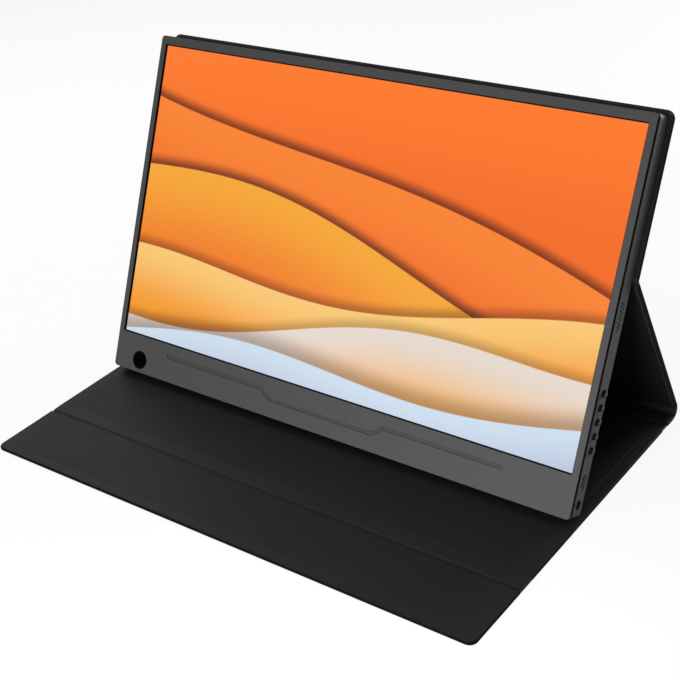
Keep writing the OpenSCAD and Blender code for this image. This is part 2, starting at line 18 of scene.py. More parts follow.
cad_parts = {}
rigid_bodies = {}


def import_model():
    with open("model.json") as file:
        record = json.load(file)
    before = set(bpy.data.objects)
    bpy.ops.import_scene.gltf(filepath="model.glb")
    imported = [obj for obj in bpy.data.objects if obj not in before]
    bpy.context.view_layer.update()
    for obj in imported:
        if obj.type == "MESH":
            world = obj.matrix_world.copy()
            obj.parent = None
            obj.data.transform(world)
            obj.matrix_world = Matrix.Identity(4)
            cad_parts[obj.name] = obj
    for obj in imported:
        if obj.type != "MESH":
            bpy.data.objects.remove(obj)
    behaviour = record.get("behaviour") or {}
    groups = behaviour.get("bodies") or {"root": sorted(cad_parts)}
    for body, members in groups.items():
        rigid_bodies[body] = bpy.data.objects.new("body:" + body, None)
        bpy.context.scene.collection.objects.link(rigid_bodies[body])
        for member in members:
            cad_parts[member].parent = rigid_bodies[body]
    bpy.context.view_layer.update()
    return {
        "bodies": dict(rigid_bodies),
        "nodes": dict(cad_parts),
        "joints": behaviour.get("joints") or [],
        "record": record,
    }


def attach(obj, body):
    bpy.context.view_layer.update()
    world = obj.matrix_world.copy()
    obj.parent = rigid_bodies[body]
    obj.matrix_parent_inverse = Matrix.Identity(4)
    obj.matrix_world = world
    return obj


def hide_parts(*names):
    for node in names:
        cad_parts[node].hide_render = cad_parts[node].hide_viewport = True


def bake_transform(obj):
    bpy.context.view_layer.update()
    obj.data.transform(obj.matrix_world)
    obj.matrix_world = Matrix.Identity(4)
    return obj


LOG = logging.getLogger("portable_monitor")
# One millimetre in metres; then, in millimetres, how near a point counts as on a face, and as the same.
MM = 0.001
TOUCH = 0.01
MERGE = 0.002
# Below the first turn two faces count as one, and above the second their edge can be rounded.
FLAT_TURN = math.radians(0.4)
SHARP_TURN = math.radians(25)
Point = tuple[float, float, float]
Flat = tuple[float, float]
Tree = bpy.types.NodeTree
Wire = bpy.types.NodeSocket
Thing = bpy.types.Object
Shape = bmesh.types.BMesh
Test = Callable[[Vector], bool]
Placing = Callable[[float, float, float], Point]


# ---- shared small tools


def linear(code: str) -> tuple[float, float, float, float]:
    """Turns an sRGB hex colour into a linear one.

    Args:
        code: six hex digits after a hash sign.
    Returns:
        Linear red, green and blue, and an alpha of 1.
    """
    parts = [int(code[i:i + 2], 16) / 255 for i in (1, 3, 5)]
    r, g, b = (c / 12.92 if c <= 0.04045 else ((c + 0.055) / 1.055) ** 2.4 for c in parts)
    return r, g, b, 1.0


def add(tree: Tree, kind: str, inputs: dict | None = None, **settings: Any) -> bpy.types.Node:
    """Adds one node with its settings, values and links.

    Args:
        tree: the material's or the geometry's node tree.
        kind: the node's type name.
        inputs: by socket name or number, a value or the output socket that feeds it.
        settings: the node's own properties.
    Returns:
        The new node.
    """
    node = tree.nodes.new(kind)
    for name, value in settings.items():
        setattr(node, name, value)
    for key, value in (inputs or {}).items():
        if isinstance(value, Wire):
            tree.links.new(value, node.inputs[key])
        else:
            node.inputs[key].default_value = value
    return node


def calc(tree: Tree, operation: str, *values: Any) -> Wire:
    """Works out one number from others in a shader's tree."""
    return add(tree, "ShaderNodeMath", dict(enumerate(values)), operation=operation).outputs[0]


def ranged(tree: Tree, value: Wire, low: float, high: float) -> Wire:
    """Turns a share from 0 to 1 into a number from low to high."""
    return add(tree, "ShaderNodeMapRange", {"Value": value, "To Min": low, "To Max": high}).outputs[0]


def noise(tree: Tree, where: Wire, size: float, detail: float) -> Wire:
    """Draws noise whose patches are about so many millimetres wide."""
    inputs = {"Vector": where, "Scale": 1 / (size * MM), "Detail": detail}
    return add(tree, "ShaderNodeTexNoise", inputs).outputs[0]


def mixed(tree: Tree, share: Wire, first: Any, second: Any) -> Wire:
    """Mixes two colours: all of the first at a share of 0, all of the second at 1."""
    return add(tree, "ShaderNodeMix", {0: share, 6: first, 7: second}, data_type="RGBA").outputs[2]


def placed(name: str, data: Any) -> Thing:
    """Makes an object and puts it in the scene.

    Args:
        name: the object's name.
        data: its mesh, camera or light.
    Returns:
        The object.
    """
    made = bpy.data.objects.new(name, data)
    bpy.context.scene.collection.objects.link(made)
    return made


def cleared(block: Any) -> Tree:
    """Gives a material or a world an empty node tree.

    Args:
        block: the material or the world.
    Returns:
        The tree.
    """
    block.use_nodes = True
    block.node_tree.nodes.clear()
    return block.node_tree


def turned(origin: Point, degrees: float, shift: Point = (0, 0, 0)) -> Matrix:
    """Makes a frame in millimetres: moved by a shift, then turned about X, then set at its origin."""
    turn = Matrix.Rotation(math.radians(degrees), 4, "X")
    return Matrix.Translation(origin) @ turn @ Matrix.Translation(shift)


# ---- where things stand


@dataclass(frozen=True)
class Stand:
    """The isosceles stand: back crease, rear fold and the rounding of the monitor's foot."""

    lean: float = 25.0
    foot_r: float = 3.0
    fold_gap: float = 0.4
    cover_t: float = 2.6
    crease_z: float = 135.7
    fold_y: float = 116.6
    mon_t: float = 14.6

    @property
    def axis_back(self) -> float:
        """How far the crease axis lies behind the foot's centre, in the monitor's frame."""
        return self.foot_r + self.cover_t / 2

    @property
    def axis_up(self) -> float:
        """How far the crease axis lies above the foot's centre, in the monitor's frame."""
        return self.crease_z - self.foot_r

    @property
    def leg(self) -> float:
        """Length of each leg of the triangle."""
        return math.hypot(self.axis_back, self.axis_up)

    @property
    def slope(self) -> float:
        """Angle of each leg above the table, in degrees."""
        return 90 - self.lean - math.degrees(math.atan2(self.axis_back, self.axis_up))

    @property
    def pivot_z(self) -> float:
        """Height of the rear fold's axis and of the foot's centre."""
        return self.cover_t + self.foot_r + self.fold_gap

    @property
    def reach(self) -> float:
        """Distance from the foot's centre to the rear fold's axis."""
        return 2 * self.leg * math.cos(math.radians(self.slope))

    @property
    def strut_turn(self) -> float:
        """Turn of the strut's frame about X, in degrees."""
        return 180 - 2 * self.slope - self.lean

    def monitor(self) -> Matrix:
        """Frame of the monitor: x from the middle, y back from the bezel's face, z up from its foot."""
        foot = (0, self.fold_y - self.reach, self.pivot_z)
        return turned(foot, -self.lean, (0, self.foot_r - self.mon_t, -self.foot_r))

    def strut(self) -> Matrix:
        """Makes the frame of the strut, whose origin is the back crease's axis.

        Returns:
            The matrix, in millimetres.
        """
        rise = math.radians(self.slope)
        crease_y = self.fold_y - self.leg * math.cos(rise)
        return turned((0, crease_y, self.pivot_z + self.leg * math.sin(rise)), self.strut_turn)


STAND = Stand()
IN_MONITOR = STAND.monitor()
IN_STRUT = STAND.strut()
LEANT = (-math.radians(STAND.lean), 0.0, 0.0)
HALF_T = STAND.cover_t / 2


class Side(Enum):
    """A side of the monitor, as the person in front of it sees it."""

    LEFT = -1
    RIGHT = 1


# ---- mesh making


def finished(mesh: Shape, name: str, frame: Matrix, sharp: float = 35.0, weighted: bool = True) -> Thing:
    """Turns a bmesh in millimetres into a finished object at the origin.

    Args:
        mesh: the shape, in the frame's millimetres. It is freed.
        name: the piece's name.
        frame: the matrix from that frame to the model's, in millimetres.
        sharp: edges steeper than this many degrees stay sharp.
        weighted: gives large faces the say over their corners' normals.
    Returns:
        The object, in metres.
    """
    mesh.transform(Matrix.Scale(MM, 4) @ frame)
    data = bpy.data.meshes.new(name)
    mesh.to_mesh(data)
    mesh.free()
    data.shade_smooth()
    data.set_sharp_from_angle(angle=math.radians(sharp))
    piece = placed(name, data)
    if weighted:
        piece.modifiers.new("even shading", "WEIGHTED_NORMAL").keep_sharp = True
    return piece


def skinned(loops: Sequence[Sequence[Point]], round_trip: bool = False) -> Shape:
    """Lays quads between loops of equal length.

    Args:
        loops: the loops of points, in order.
        round_trip: joins the last loop to the first, where otherwise each gets a face that closes it.
    Returns:
        The bmesh, its faces pointing outward.
    """
    mesh = bmesh.new()
    rows = [[mesh.verts.new(p) for p in loop] for loop in loops]
    pairs = list(zip(rows, rows[1:])) + ([(rows[-1], rows[0])] if round_trip else [])
    made = []
    for low, high in pairs:
        for i in range(len(low)):
            j = (i + 1) % len(low)
            made.append(mesh.faces.new((low[i], low[j], high[j], high[i])))
    if not round_trip:
        made += [mesh.faces.new(rows[0][::-1]), mesh.faces.new(rows[-1])]
    bmesh.ops.recalc_face_normals(mesh, faces=made)
    return mesh


def rounded(half_x: float, y0: float, y1: float, radii: Flat, steps: int) -> list[Flat]:
    """Outline of a rectangle with round corners.

    Args:
        half_x: half its width.
        y0: its near end.
        y1: its far end.
        radii: the corner radius at the near and at the far end.
        steps: faces in a corner.
    Returns:
        The points, anticlockwise from the far right corner.
    """
    points = []
    near, far = (max(r, 0.05) for r in radii)
    for sx, y, r, start in ((1, y1 - far, far, 0), (-1, y1 - far, far, 90),
                            (-1, y0 + near, near, 180), (1, y0 + near, near, 270)):
        for i in range(steps + 1):
            a = math.radians(start + 90 * i / steps)
            points.append((sx * (half_x - r) + r * math.cos(a), y + r * math.sin(a)))
    return points


def lathed(profile: Sequence[Flat], place: Placing, steps: int, closed: bool = False) -> Shape:
    """Spins a profile of (along, radius) points about an axis.

    Args:
        profile: the points, from one end to the other.
        place: turns (along, across, up) into the frame's point.
        steps: faces round the axis.
        closed: joins the profile's last point to its first, as on a tube.
    Returns:
        The bmesh.
    """
    turns = [math.tau * i / steps for i in range(steps)]
    loops = [[place(s, r * math.cos(a), r * math.sin(a)) for a in turns] for s, r in profile]
    return skinned(loops, closed)


def about_x(x: float, y: float, z: float) -> Placing:
    """Places a lathed part along X, its zero at x."""
    return lambda s, a, b: (x + s, y + a, z + b)


def about_y(x: float, y: float, z: float) -> Placing:
    """Places a lathed part along Y, its zero at y."""
    return lambda s, a, b: (x + a, y + s, z + b)


def box_faces(mesh: Shape, low: Point, high: Point, edge: float) -> None:
    """Adds a block with softened edges to a bmesh.

    Args:
        mesh: the bmesh to add to.
        low: the block's lowest corner.
        high: its highest corner.
        edge: the width of the softened edges.
    """
    part = bmesh.new()
    bmesh.ops.create_cube(part, size=1, matrix=Matrix.Translation([(a + b) / 2 for a, b in zip(low, high)])
                          @ Matrix.Diagonal([b - a for a, b in zip(low, high)] + [1]))
    bmesh.ops.bevel(part, geom=part.edges[:], offset=edge, segments=2, profile=0.5, affect="EDGES")
    data = bpy.data.meshes.new("block")
    part.to_mesh(data)
    part.free()
    mesh.from_mesh(data)
    bpy.data.meshes.remove(data)


def dressed(piece: Thing, finishes: Sequence["Paint"], body: str, *nodes: str) -> Thing:
    """Gives a piece its finishes, its body and the nodes that it stands for.

    Args:
        piece: the finished object.
        finishes: one finish for each material index of its faces.
        body: the body that it rides on.
        nodes: the model's nodes that it replaces.
    Returns:
        The piece.
    """
    if not piece.data.materials:
        for finish in finishes:
            piece.data.materials.append(finish.material())
    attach(piece, body)
    if nodes:
        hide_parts(*nodes)
    LOG.info("%s rides on %s: %d faces", piece.name, body, len(piece.data.polygons))
    return piece


def on_monitor(mesh: Shape, name: str, finishes: Sequence["Paint"], *nodes: str) -> Thing:
    """Finishes and dresses a shape that is in the monitor's frame, and lets it ride on the monitor."""
    return dressed(finished(mesh, name, IN_MONITOR), finishes, "monitor", *nodes)


# ---- what repeats or follows a path


class PathTree:
    """A geometry tree that is built once and evaluated into plain meshes."""

    def __init__(self, name: str, sizes: dict[str, str]) -> None:
        """Starts the tree with its named inputs.

        Args:
            name: the tree's name.
            sizes: each input's name and its socket type.
        """
        self.tree = bpy.data.node_groups.new(name, "GeometryNodeTree")
        self.tree.interface.new_socket(name="Geometry", in_out="INPUT", socket_type="NodeSocketGeometry")
        self.keys = {}
        for label, kind in {**sizes, "Finish": "NodeSocketMaterial"}.items():
            item = self.tree.interface.new_socket(name=label, in_out="INPUT", socket_type=kind)
            self.keys[label] = item.identifier
        self.tree.interface.new_socket(name="Geometry", in_out="OUTPUT", socket_type="NodeSocketGeometry")
        self.given = add(self.tree, "NodeGroupInput")

    def close(self, geometry: Wire) -> None:
        """Ends the tree: instances are made real and the finish is set.

        Args:
            geometry: the socket that carries the result.
        """
        real = add(self.tree, "GeometryNodeRealizeInstances", {0: geometry})
        finish = self.given.outputs["Finish"]
        done = add(self.tree, "GeometryNodeSetMaterial", {0: real.outputs[0], "Material": finish})
        add(self.tree, "NodeGroupOutput", {0: done.outputs[0]})

    def run(self, name: str, finish: "Finish", spots: Iterable[Point],
            edges: Sequence[tuple[int, int]] = (), **sizes: Any) -> Thing:
        """Runs the tree over points, or over the path between them.

        Args:
            name: the piece's name.
            finish: the finish of the result.
            spots: the points, in millimetres in the monitor's frame.
            edges: the path, as pairs of point numbers.
            sizes: values of the named inputs.
        Returns:
            A plain object at the origin.
        """
        seeds = bpy.data.meshes.new(name + "_path")
        seeds.from_pydata([MM * (IN_MONITOR @ Vector(p)) for p in spots], edges, [])
        carrier = placed(name + "_path", seeds)
        modifier = carrier.modifiers.new("tree", "NODES")
        modifier.node_group = self.tree
        for label, value in {**sizes, "Finish": finish.material()}.items():
            modifier[self.keys[label]] = value
        shown = carrier.evaluated_get(bpy.context.evaluated_depsgraph_get())
        data = bpy.data.meshes.new_from_object(shown)
        data.name = name
        piece = placed(name, data)
        carrier.modifiers.remove(modifier)
        bpy.data.objects.remove(carrier)
        return piece


def repeat_tree() -> PathTree:
    """Makes the tree that sets one part on every point, turned as it is told.

    Returns:
        The tree, with the inputs Part and Turn.
    """
    made = PathTree("one part on every spot", {"Part": "NodeSocketObject", "Turn": "NodeSocketRotation"})
    part = add(made.tree, "GeometryNodeObjectInfo", {"Object": made.given.outputs["Part"]})
    spread = add(made.tree, "GeometryNodeInstanceOnPoints", {
        "Points": made.given.outputs["Geometry"], "Instance": part.outputs["Geometry"],
        "Rotation": made.given.outputs["Turn"]})
    made.close(spread.outputs[0])
    return made


def thread_tree() -> PathTree:
    """Makes the tree that lays a round thread along every edge of a path.

    Returns:
        The tree, with the inputs Radius and Faces round.
    """
    made = PathTree("thread along a path", {"Radius": "NodeSocketFloat", "Faces round": "NodeSocketInt"})
    line = add(made.tree, "GeometryNodeMeshToCurve", {0: made.given.outputs["Geometry"]})
    ring = add(made.tree, "GeometryNodeCurvePrimitiveCircle", {
        "Resolution": made.given.outputs["Faces round"], "Radius": made.given.outputs["Radius"]})
    swept = add(made.tree, "GeometryNodeCurveToMesh", {
        "Curve": line.outputs[0], "Profile Curve": ring.outputs[0], "Fill Caps": True})
    made.close(swept.outputs[0])
    return made


# ---- finishes


class Pattern(Enum):
    """How a surface varies from place to place."""

    GRAIN = "an even grain"
    BRUSHED = "fine scratches along one way"
    CELLS = "open cells"
    TRACKS = "copper tracks under lacquer"
    CROSS_GRAIN = "straight ribs crossed by finer ones"


class Follows(Enum):
    """What a pattern is laid along."""

    PLACE = "Object"
    SURFACE = "UV"


@dataclass(frozen=True)
class CrossGrain:
    """How wavering ribs, finer ribs across them and a fine grain make up the leather's relief."""

    wander: float = 1.4
    wander_size: float = 0.6
    cross_pitch: float = 0.62
    cross_wander: float = 2.5
    cross_share: float = 0.3
    fine_pitch: float = 1 / 3
    fine_share: float = 0.5
    level: float = 0.55


@dataclass(frozen=True)
class Paint:
    """What every finish shares: its material is built once and found again later."""

    name: str
    slot: str

    def material(self) -> bpy.types.Material:
        """Builds the material, or finds it when it is already there.

        Returns:
            The material.
        """
        made = bpy.data.materials.get(self.name)
        if not made:
            made = bpy.data.materials.new(self.name)
            tree = cleared(made)
            add(tree, "ShaderNodeOutputMaterial", {"Surface": self.surface(tree)})
        return made

    def surface(self, tree: Tree) -> Wire:
        """Draws the surface in the material's empty tree."""
        raise NotImplementedError


@dataclass(frozen=True)
class Finish(Paint):
    """A real material with the surface that its making left.

    The two colours are its lightest and darkest tone, and pitch, relief and cloud are millimetres.
    """

    light: str
    dark: str
    pitch: float
    pattern: Pattern = Pattern.GRAIN
    roughness: float = 0.5
    relief: float = 0.02
    cloud: float = 60.0
    metallic: float = 0.0
    specular: float = 0.5
    ior: float = 1.5
    transmission: float = 0.0
    turn: Point = (0.0, 0.0, 0.0)
    follows: Follows = Follows.PLACE
    edge: str = ""
    rough_swing: float = 0.06
    edge_specular: float = 0.02
    relief_share: float = 0.45

    def surface(self, tree: Tree) -> Wire:
        """Draws the tones, the gloss and the relief.

        Args:
            tree: the material's empty node tree.
        Returns:
            The socket that carries the surface.
        """
        where = add(tree, "ShaderNodeTexCoord").outputs[self.follows.value]
        height = self.height(tree, where)
        cloud = noise(tree, where, self.cloud, 3.0)
        share = calc(tree, "MULTIPLY", height, self.relief_share)
        share = calc(tree, "MULTIPLY_ADD", cloud, 1 - self.relief_share, share)
        tone = mixed(tree, share, linear(self.dark), linear(self.light))
        rough = ranged(tree, share, self.roughness + self.rough_swing, self.roughness - self.rough_swing)
        gloss: Any = self.specular
        if self.edge:
            rim = add(tree, "ShaderNodeAttribute", attribute_name="edge").outputs["Fac"]
            tone = mixed(tree, rim, tone, linear(self.edge))
            gloss = ranged(tree, rim, self.specular, self.edge_specular)
        bump = add(tree, "ShaderNodeBump", {
            "Strength": 1.0, "Distance": self.relief * MM, "Height": height})
        return add(tree, "ShaderNodeBsdfPrincipled", {
            "Base Color": tone, "Roughness": rough, "Metallic": self.metallic,
            "Specular IOR Level": gloss, "IOR": self.ior, "Transmission Weight": self.transmission,
            "Normal": bump.outputs[0]}).outputs[0]

    def height(self, tree: Tree, where: Wire) -> Wire:
        """Draws the surface's relief from 0 to 1.

        Args:
            tree: the material's node tree.
            where: the coordinates to draw on, in metres.
        Returns:
            The socket that carries the relief.
        """
        stretch = (0.04, 1.0, 1.0) if self.pattern is Pattern.BRUSHED else (1.0, 1.0, 1.0)
        laid = add(tree, "ShaderNodeMapping", {
            "Vector": where, "Rotation": [math.radians(a) for a in self.turn], "Scale": stretch}).outputs[0]
        if self.pattern in (Pattern.CELLS, Pattern.TRACKS):
            measure = "EUCLIDEAN" if self.pattern is Pattern.CELLS else "CHEBYCHEV"
            cells = add(tree, "ShaderNodeTexVoronoi", {"Vector": laid, "Scale": 1 / (self.pitch * MM)},
                        distance=measure)
            return cells.outputs["Distance"]
        grain = noise(tree, laid, self.pitch, 2.0)
        if self.pattern is not Pattern.CROSS_GRAIN:
            return grain
        mix = CrossGrain()
        wander = {"Distortion": mix.wander, "Detail Scale": mix.wander_size}
        ribs = self.ribs(tree, laid, "Y", self.pitch, wander)
        cross = self.ribs(tree, laid, "X", self.pitch * mix.cross_pitch, {"Distortion": mix.cross_wander})
        both = calc(tree, "MULTIPLY_ADD", cross, mix.cross_share, ribs)
        fine = noise(tree, laid, self.pitch * mix.fine_pitch, 3.0)
        both = calc(tree, "MULTIPLY_ADD", fine, mix.fine_share, both)
        return calc(tree, "MULTIPLY", both, mix.level)

    @staticmethod
    def ribs(tree: Tree, laid: Wire, way: str, pitch: float, wander: dict[str, float]) -> Wire:
        """Draws wavering ribs.

        Args:
            tree: the material's node tree.
            laid: the coordinates to draw on, in metres.
            way: the axis that they repeat along.
            pitch: the distance from one to the next, in millimetres.
            wander: how they leave the straight line, by socket name.
        Returns:
            The socket that carries the ribs, from 0 to 1.
        """
        return add(tree, "ShaderNodeTexWave", {
            "Vector": laid, "Scale": math.pi / 10 / (pitch * MM), "Detail": 2.0, **wander},
            bands_direction=way, wave_profile="SIN").outputs["Fac"]


# Sparked ABS: the mould's fine pitting makes it matt, with a soft broad gloss.
SPARKED_ABS = Finish("Sparked ABS, charcoal", "grey_shell", "#4f4f50", "#464647", 0.45,
                     roughness=0.6, relief=0.012, cloud=90, specular=0.08)
# The same ABS on the engraved channel's floor: its tone is painted darker as shade in the channel, and the
# cutter's finer floor gives less relief.
ENGRAVED_ABS_SHADED = Finish("Engraved ABS, charcoal", "grey_shell", "#474748", "#404041", 0.3,
                      roughness=0.6, relief=0.006, cloud=40, specular=0.1)
# The same ABS in black, from a smoother mould: satin. It is also painted into gaps, openings and sockets as
# their shade.
BLACK_ABS_AND_SHADE = Finish("Moulded ABS, black satin", "black_plastic", "#0c0c0d", "#070708", 0.6,
                   roughness=0.5, relief=0.006, cloud=20, specular=0.05)
# Foam rubber, sliced: a dull open-celled face.
FOAM = Finish("Sliced foam rubber", "black_rubber", "#161616", "#0a0a0a", 0.5, Pattern.CELLS,
              roughness=0.9, relief=0.08, specular=0.2)
# Cast PET film: even, milky and nearly without grain.
WHITE_FILM = Finish("Cast white film", "white_film", "#f1f1ef", "#e6e7e6", 1.5,
                    roughness=0.55, relief=0.003, cloud=120)
# Cast acrylic: clear, with a faint dot print on one face.
ACRYLIC = Finish("Cast acrylic, dotted", "clear_acrylic", "#eef3f7", "#dce6ee", 2.0, Pattern.CELLS,
                 roughness=0.14, relief=0.004, ior=1.49, transmission=0.85)
# Stamped steel sheet: rolling lines draw its gloss out one way.
STEEL = Finish("Stamped steel, rolled grain", "steel", "#b6b9bd", "#9a9da2", 0.12, Pattern.BRUSHED,
               roughness=0.32, relief=0.003, cloud=18, metallic=1.0)
# Nickel over steel: warm, bright and nearly smooth.
NICKEL = Finish("Nickel plate", "nickel", "#c9c6bd", "#b4b0a5", 0.8,
                roughness=0.2, relief=0.002, cloud=10, metallic=1.0)
# White epoxy with phosphor in it: a pale yellow with a silky face.
PHOSPHOR = Finish("Moulded phosphor epoxy", "led_yellow", "#f1e6b9", "#e2d28f", 1.0,
                  roughness=0.35, relief=0.004, cloud=12)
# Fibreglass board under green solder lacquer: tracks stand a hair proud of it.
SOLDER_MASK = Finish("Solder lacquer over copper tracks", "circuit_board", "#2c7a52", "#123b27", 2.4,
                     Pattern.TRACKS, roughness=0.34, relief=0.03, cloud=25)
# Polyimide film: amber, glossy, with the copper's tone under it.
POLYIMIDE = Finish("Polyimide film", "amber_flex", "#b9772c", "#8f5516", 1.2, Pattern.BRUSHED,
                   roughness=0.25, relief=0.004, cloud=8)
# Ribbon cable: extruded side by side, so its ribs run along it.
RIBBON = Finish("Extruded ribbon cable", "cream_cable", "#ddd7c6", "#c3bba6", 0.6, Pattern.BRUSHED,
                roughness=0.5, relief=0.05, cloud=20)
# Polycarbonate light pipe: smoked, so that it is dark until its lamp is lit.
LIGHT_PIPE = Finish("Moulded polycarbonate, smoked", "light_pipe", "#2c2f31", "#1f2123", 0.4,
                    roughness=0.45, relief=0.004, cloud=3, ior=1.58, specular=0.06)
# Polyester thread: round, dull and black.
THREAD = Finish("Woven polyester thread", "black_mesh", "#111112", "#09090a", 0.15,
                roughness=0.8, relief=0.02, specular=0.08)
# Grey board: pressed waste paper with visible fibres.
GREY_CARD = Finish("Pressed grey card", "grey_card", "#948d82", "#7d766b", 0.7, Pattern.BRUSHED,
                   roughness=0.88, relief=0.03, cloud=14, specular=0.2)
# Coated leather pressed with a cross grain: ribs catch a thin gloss, and the cut edges are painted.
LEATHER = Finish("Coated leather, pressed cross grain", "black_leather", "#1e1e1e", "#161616", 1.85,
                 Pattern.CROSS_GRAIN, roughness=0.55, relief=0.05, cloud=45, specular=0.09,
                 turn=(0, 0, -28), follows=Follows.SURFACE, edge="#0b0b0b")
# The same leather painted paler: a painted highlight along the lifted end's inner hem and the strut's
# pressed line.
LEATHER_PAINTED_HIGHLIGHT = Finish("Coated leather, rubbed at the hem", "black_leather", "#424244", "#38383a", 1.85,
                        Pattern.CROSS_GRAIN, roughness=0.5, relief=0.03, cloud=45, specular=0.1,
                        turn=(0, 0, -28), follows=Follows.SURFACE, edge="#262628")
# The lining is the same grain pressed into a duller coat.
LINING = Finish("Coated microfibre, pressed cross grain", "black_lining", "#1d1d1d", "#151515", 1.85,
                Pattern.CROSS_GRAIN, roughness=0.58, relief=0.045, cloud=70, specular=0.09,
                turn=(0, 0, -28), follows=Follows.SURFACE)

NODE_FINISHES = {
    FOAM: ("foam_gasket",),
    WHITE_FILM: ("diffuser_sheet", "reflector_sheet"),
    ACRYLIC: ("light_guide",),
    STEEL: ("backlight_tray", "board_screws"),
    PHOSPHOR: ("led_bar",),
    SOLDER_MASK: ("driver_board", "main_board", "input_board", "button_board"),
    POLYIMIDE: ("panel_flexes",),
    RIBBON: ("link_cable",),
    LIGHT_PIPE: ("status_light",),
    BLACK_ABS_AND_SHADE: ("tact_switches", "speaker_right", "speaker_left"),
    NICKEL: ("housing_magnets", "cover_magnets"),
    GREY_CARD: ("upper_board", "strut_board", "spine_board", "base_board", "flap_board"),
}


@dataclass(frozen=True)
class Ridge:
    """One soft ridge of the screen's picture, in shares of the lit area's half sides."""

    level: float
    tilt: float
    swing: float
    bends: float
    phase: float
    crest: str
    foot: str
    fade: float
    shade: float = 0.8
    reach: float = 0.09


@dataclass(frozen=True)
class LitPicture(Paint):
    """A liquid-crystal cell, lit from behind: a plain picture of soft ridges in a black border."""

    name: str = "Lit liquid-crystal cell"
    slot: str = "screen"
    half_w: float = 172.1
    half_h: float = 96.8
    middle: Point = (0.0, 1.4, 123.0)
    top: str = "#fc7a2b"
    high: str = "#f26c22"
    shadow: str = "#48140f"
    border: str = "#030303"
    glass: str = "#050505"
    crisp: Flat = (0.006, -0.002)
    ridges: tuple[Ridge, ...] = (
        Ridge(0.36, -0.42, 0.12, 1.9, 0.5, "#f88330", "#ec651c", 0.8),
        Ridge(-0.06, -0.24, 0.15, 2.4, 2.5, "#f5a636", "#f07a24", 0.65),
        Ridge(-0.34, 0.12, 0.10, 2.9, 4.7, "#f7c774", "#f39a2c", 0.45, 0.55),
        Ridge(-0.62, 0.22, 0.09, 3.4, 0.7, "#e4d8ce", "#f3b35c", 0.5, 0.4),
        Ridge(-0.86, 0.12, 0.08, 3.1, 3.1, "#cbdcec", "#b9c4dc", 0.3, 0.5, 0.16),
    )

    def surface(self, tree: Tree) -> Wire:
        """Draws the picture, its border and the matt glass over it.

        Args:
            tree: the material's empty node tree.
        Returns:
            The socket that carries the surface.
        """
        centre = MM * (IN_MONITOR @ Vector(self.middle))
        laid = add(tree, "ShaderNodeMapping", {
            "Vector": add(tree, "ShaderNodeTexCoord").outputs["Object"], "Location": centre,
            "Rotation": LEANT, "Scale": (self.half_w * MM, 1.0, self.half_h * MM)}, vector_type="TEXTURE")
        axes = add(tree, "ShaderNodeSeparateXYZ", {0: laid.outputs[0]})
        across, up = axes.outputs["X"], axes.outputs["Z"]
        picture = mixed(tree, self.ramp(tree, up, 1.0, 0.2), linear(self.high), linear(self.top))
        for ridge in self.ridges:
            picture = self.ridge(tree, ridge, across, up, picture)
        picture = mixed(tree, self.inside(tree, across, up), linear(self.border), picture)
        return add(tree, "ShaderNodeBsdfPrincipled", {
            "Base Color": linear(self.glass), "Roughness": 0.34, "Specular IOR Level": 0.1,
            "Emission Color": picture, "Emission Strength": 1.0}).outputs[0]

    @staticmethod
    def ramp(tree: Tree, value: Wire, one: float, zero: float) -> Wire:
        """Turns a value into a smooth share, of 1 where it is one and of 0 where it is zero."""
        return add(tree, "ShaderNodeMapRange", {"Value": value, "From Min": zero, "From Max": one},
                   interpolation_type="SMOOTHSTEP").outputs[0]

    def ridge(self, tree: Tree, ridge: Ridge, across: Wire, up: Wire, behind: Wire) -> Wire:
        """Lays one ridge, and the shade that it throws, over what is behind it.

        Args:
            tree: the node tree.
            ridge: the ridge.
            across: the place across the picture, from -1 to 1.
            up: the place up the picture, from -1 to 1.
            behind: the colour behind.
        Returns:
            The colour with the ridge in it.
        """
        wave = calc(tree, "SINE", calc(tree, "MULTIPLY_ADD", across, ridge.bends, ridge.phase))
        line = calc(tree, "MULTIPLY_ADD", wave, ridge.swing, ridge.level)
        line = calc(tree, "MULTIPLY_ADD", across, ridge.tilt, line)
        below = calc(tree, "SUBTRACT", line, up)
        thrown = calc(tree, "MULTIPLY", self.ramp(tree, below, 0.0, -ridge.reach), ridge.shade)
        behind = mixed(tree, thrown, behind, linear(self.shadow))
        own = mixed(tree, self.ramp(tree, below, ridge.fade, 0.0), linear(ridge.crest), linear(ridge.foot))
        return mixed(tree, self.ramp(tree, below, *self.crisp), behind, own)

    @staticmethod
    def inside(tree: Tree, across: Wire, up: Wire) -> Wire:
        """Gives a share of 1 inside the lit area and 0 in its border."""
        sizes = (calc(tree, "ABSOLUTE", across), calc(tree, "ABSOLUTE", up))
        return calc(tree, "LESS_THAN", calc(tree, "MAXIMUM", *sizes), 1.0)


# ---- copies of the model's own shapes


@dataclass(frozen=True)
class Softening:
    """A group of sharp edges and the rounding that they get, in millimetres."""

    where: Test
    width: float
    steps: int


def softened(node: str, frame: Matrix, groups: Sequence[Softening]) -> Shape:
    """Copies a node's mesh, merges it and rounds chosen edges.

    Args:
        node: the model's node.
        frame: the frame to work in.
        groups: the edges to round; an edge is in a group when both its ends are.
    Returns:
        The bmesh, in the frame's millimetres.
    """
    mesh = bmesh.new()
    mesh.from_mesh(bpy.data.objects[node].data)
    mesh.transform((Matrix.Scale(MM, 4) @ frame).inverted())
    bmesh.ops.remove_doubles(mesh, verts=mesh.verts, dist=MERGE)
    bmesh.ops.dissolve_limit(mesh, angle_limit=FLAT_TURN, verts=mesh.verts[:], edges=mesh.edges[:])
    for group in groups:
        chosen = [e for e in mesh.edges if e.calc_face_angle(0.0) > SHARP_TURN
                  and all(group.where(v.co) for v in e.verts)]
        bmesh.ops.bevel(mesh, geom=chosen, offset=group.width, segments=group.steps, profile=0.5,
                        affect="EDGES", clamp_overlap=True)
    return mesh


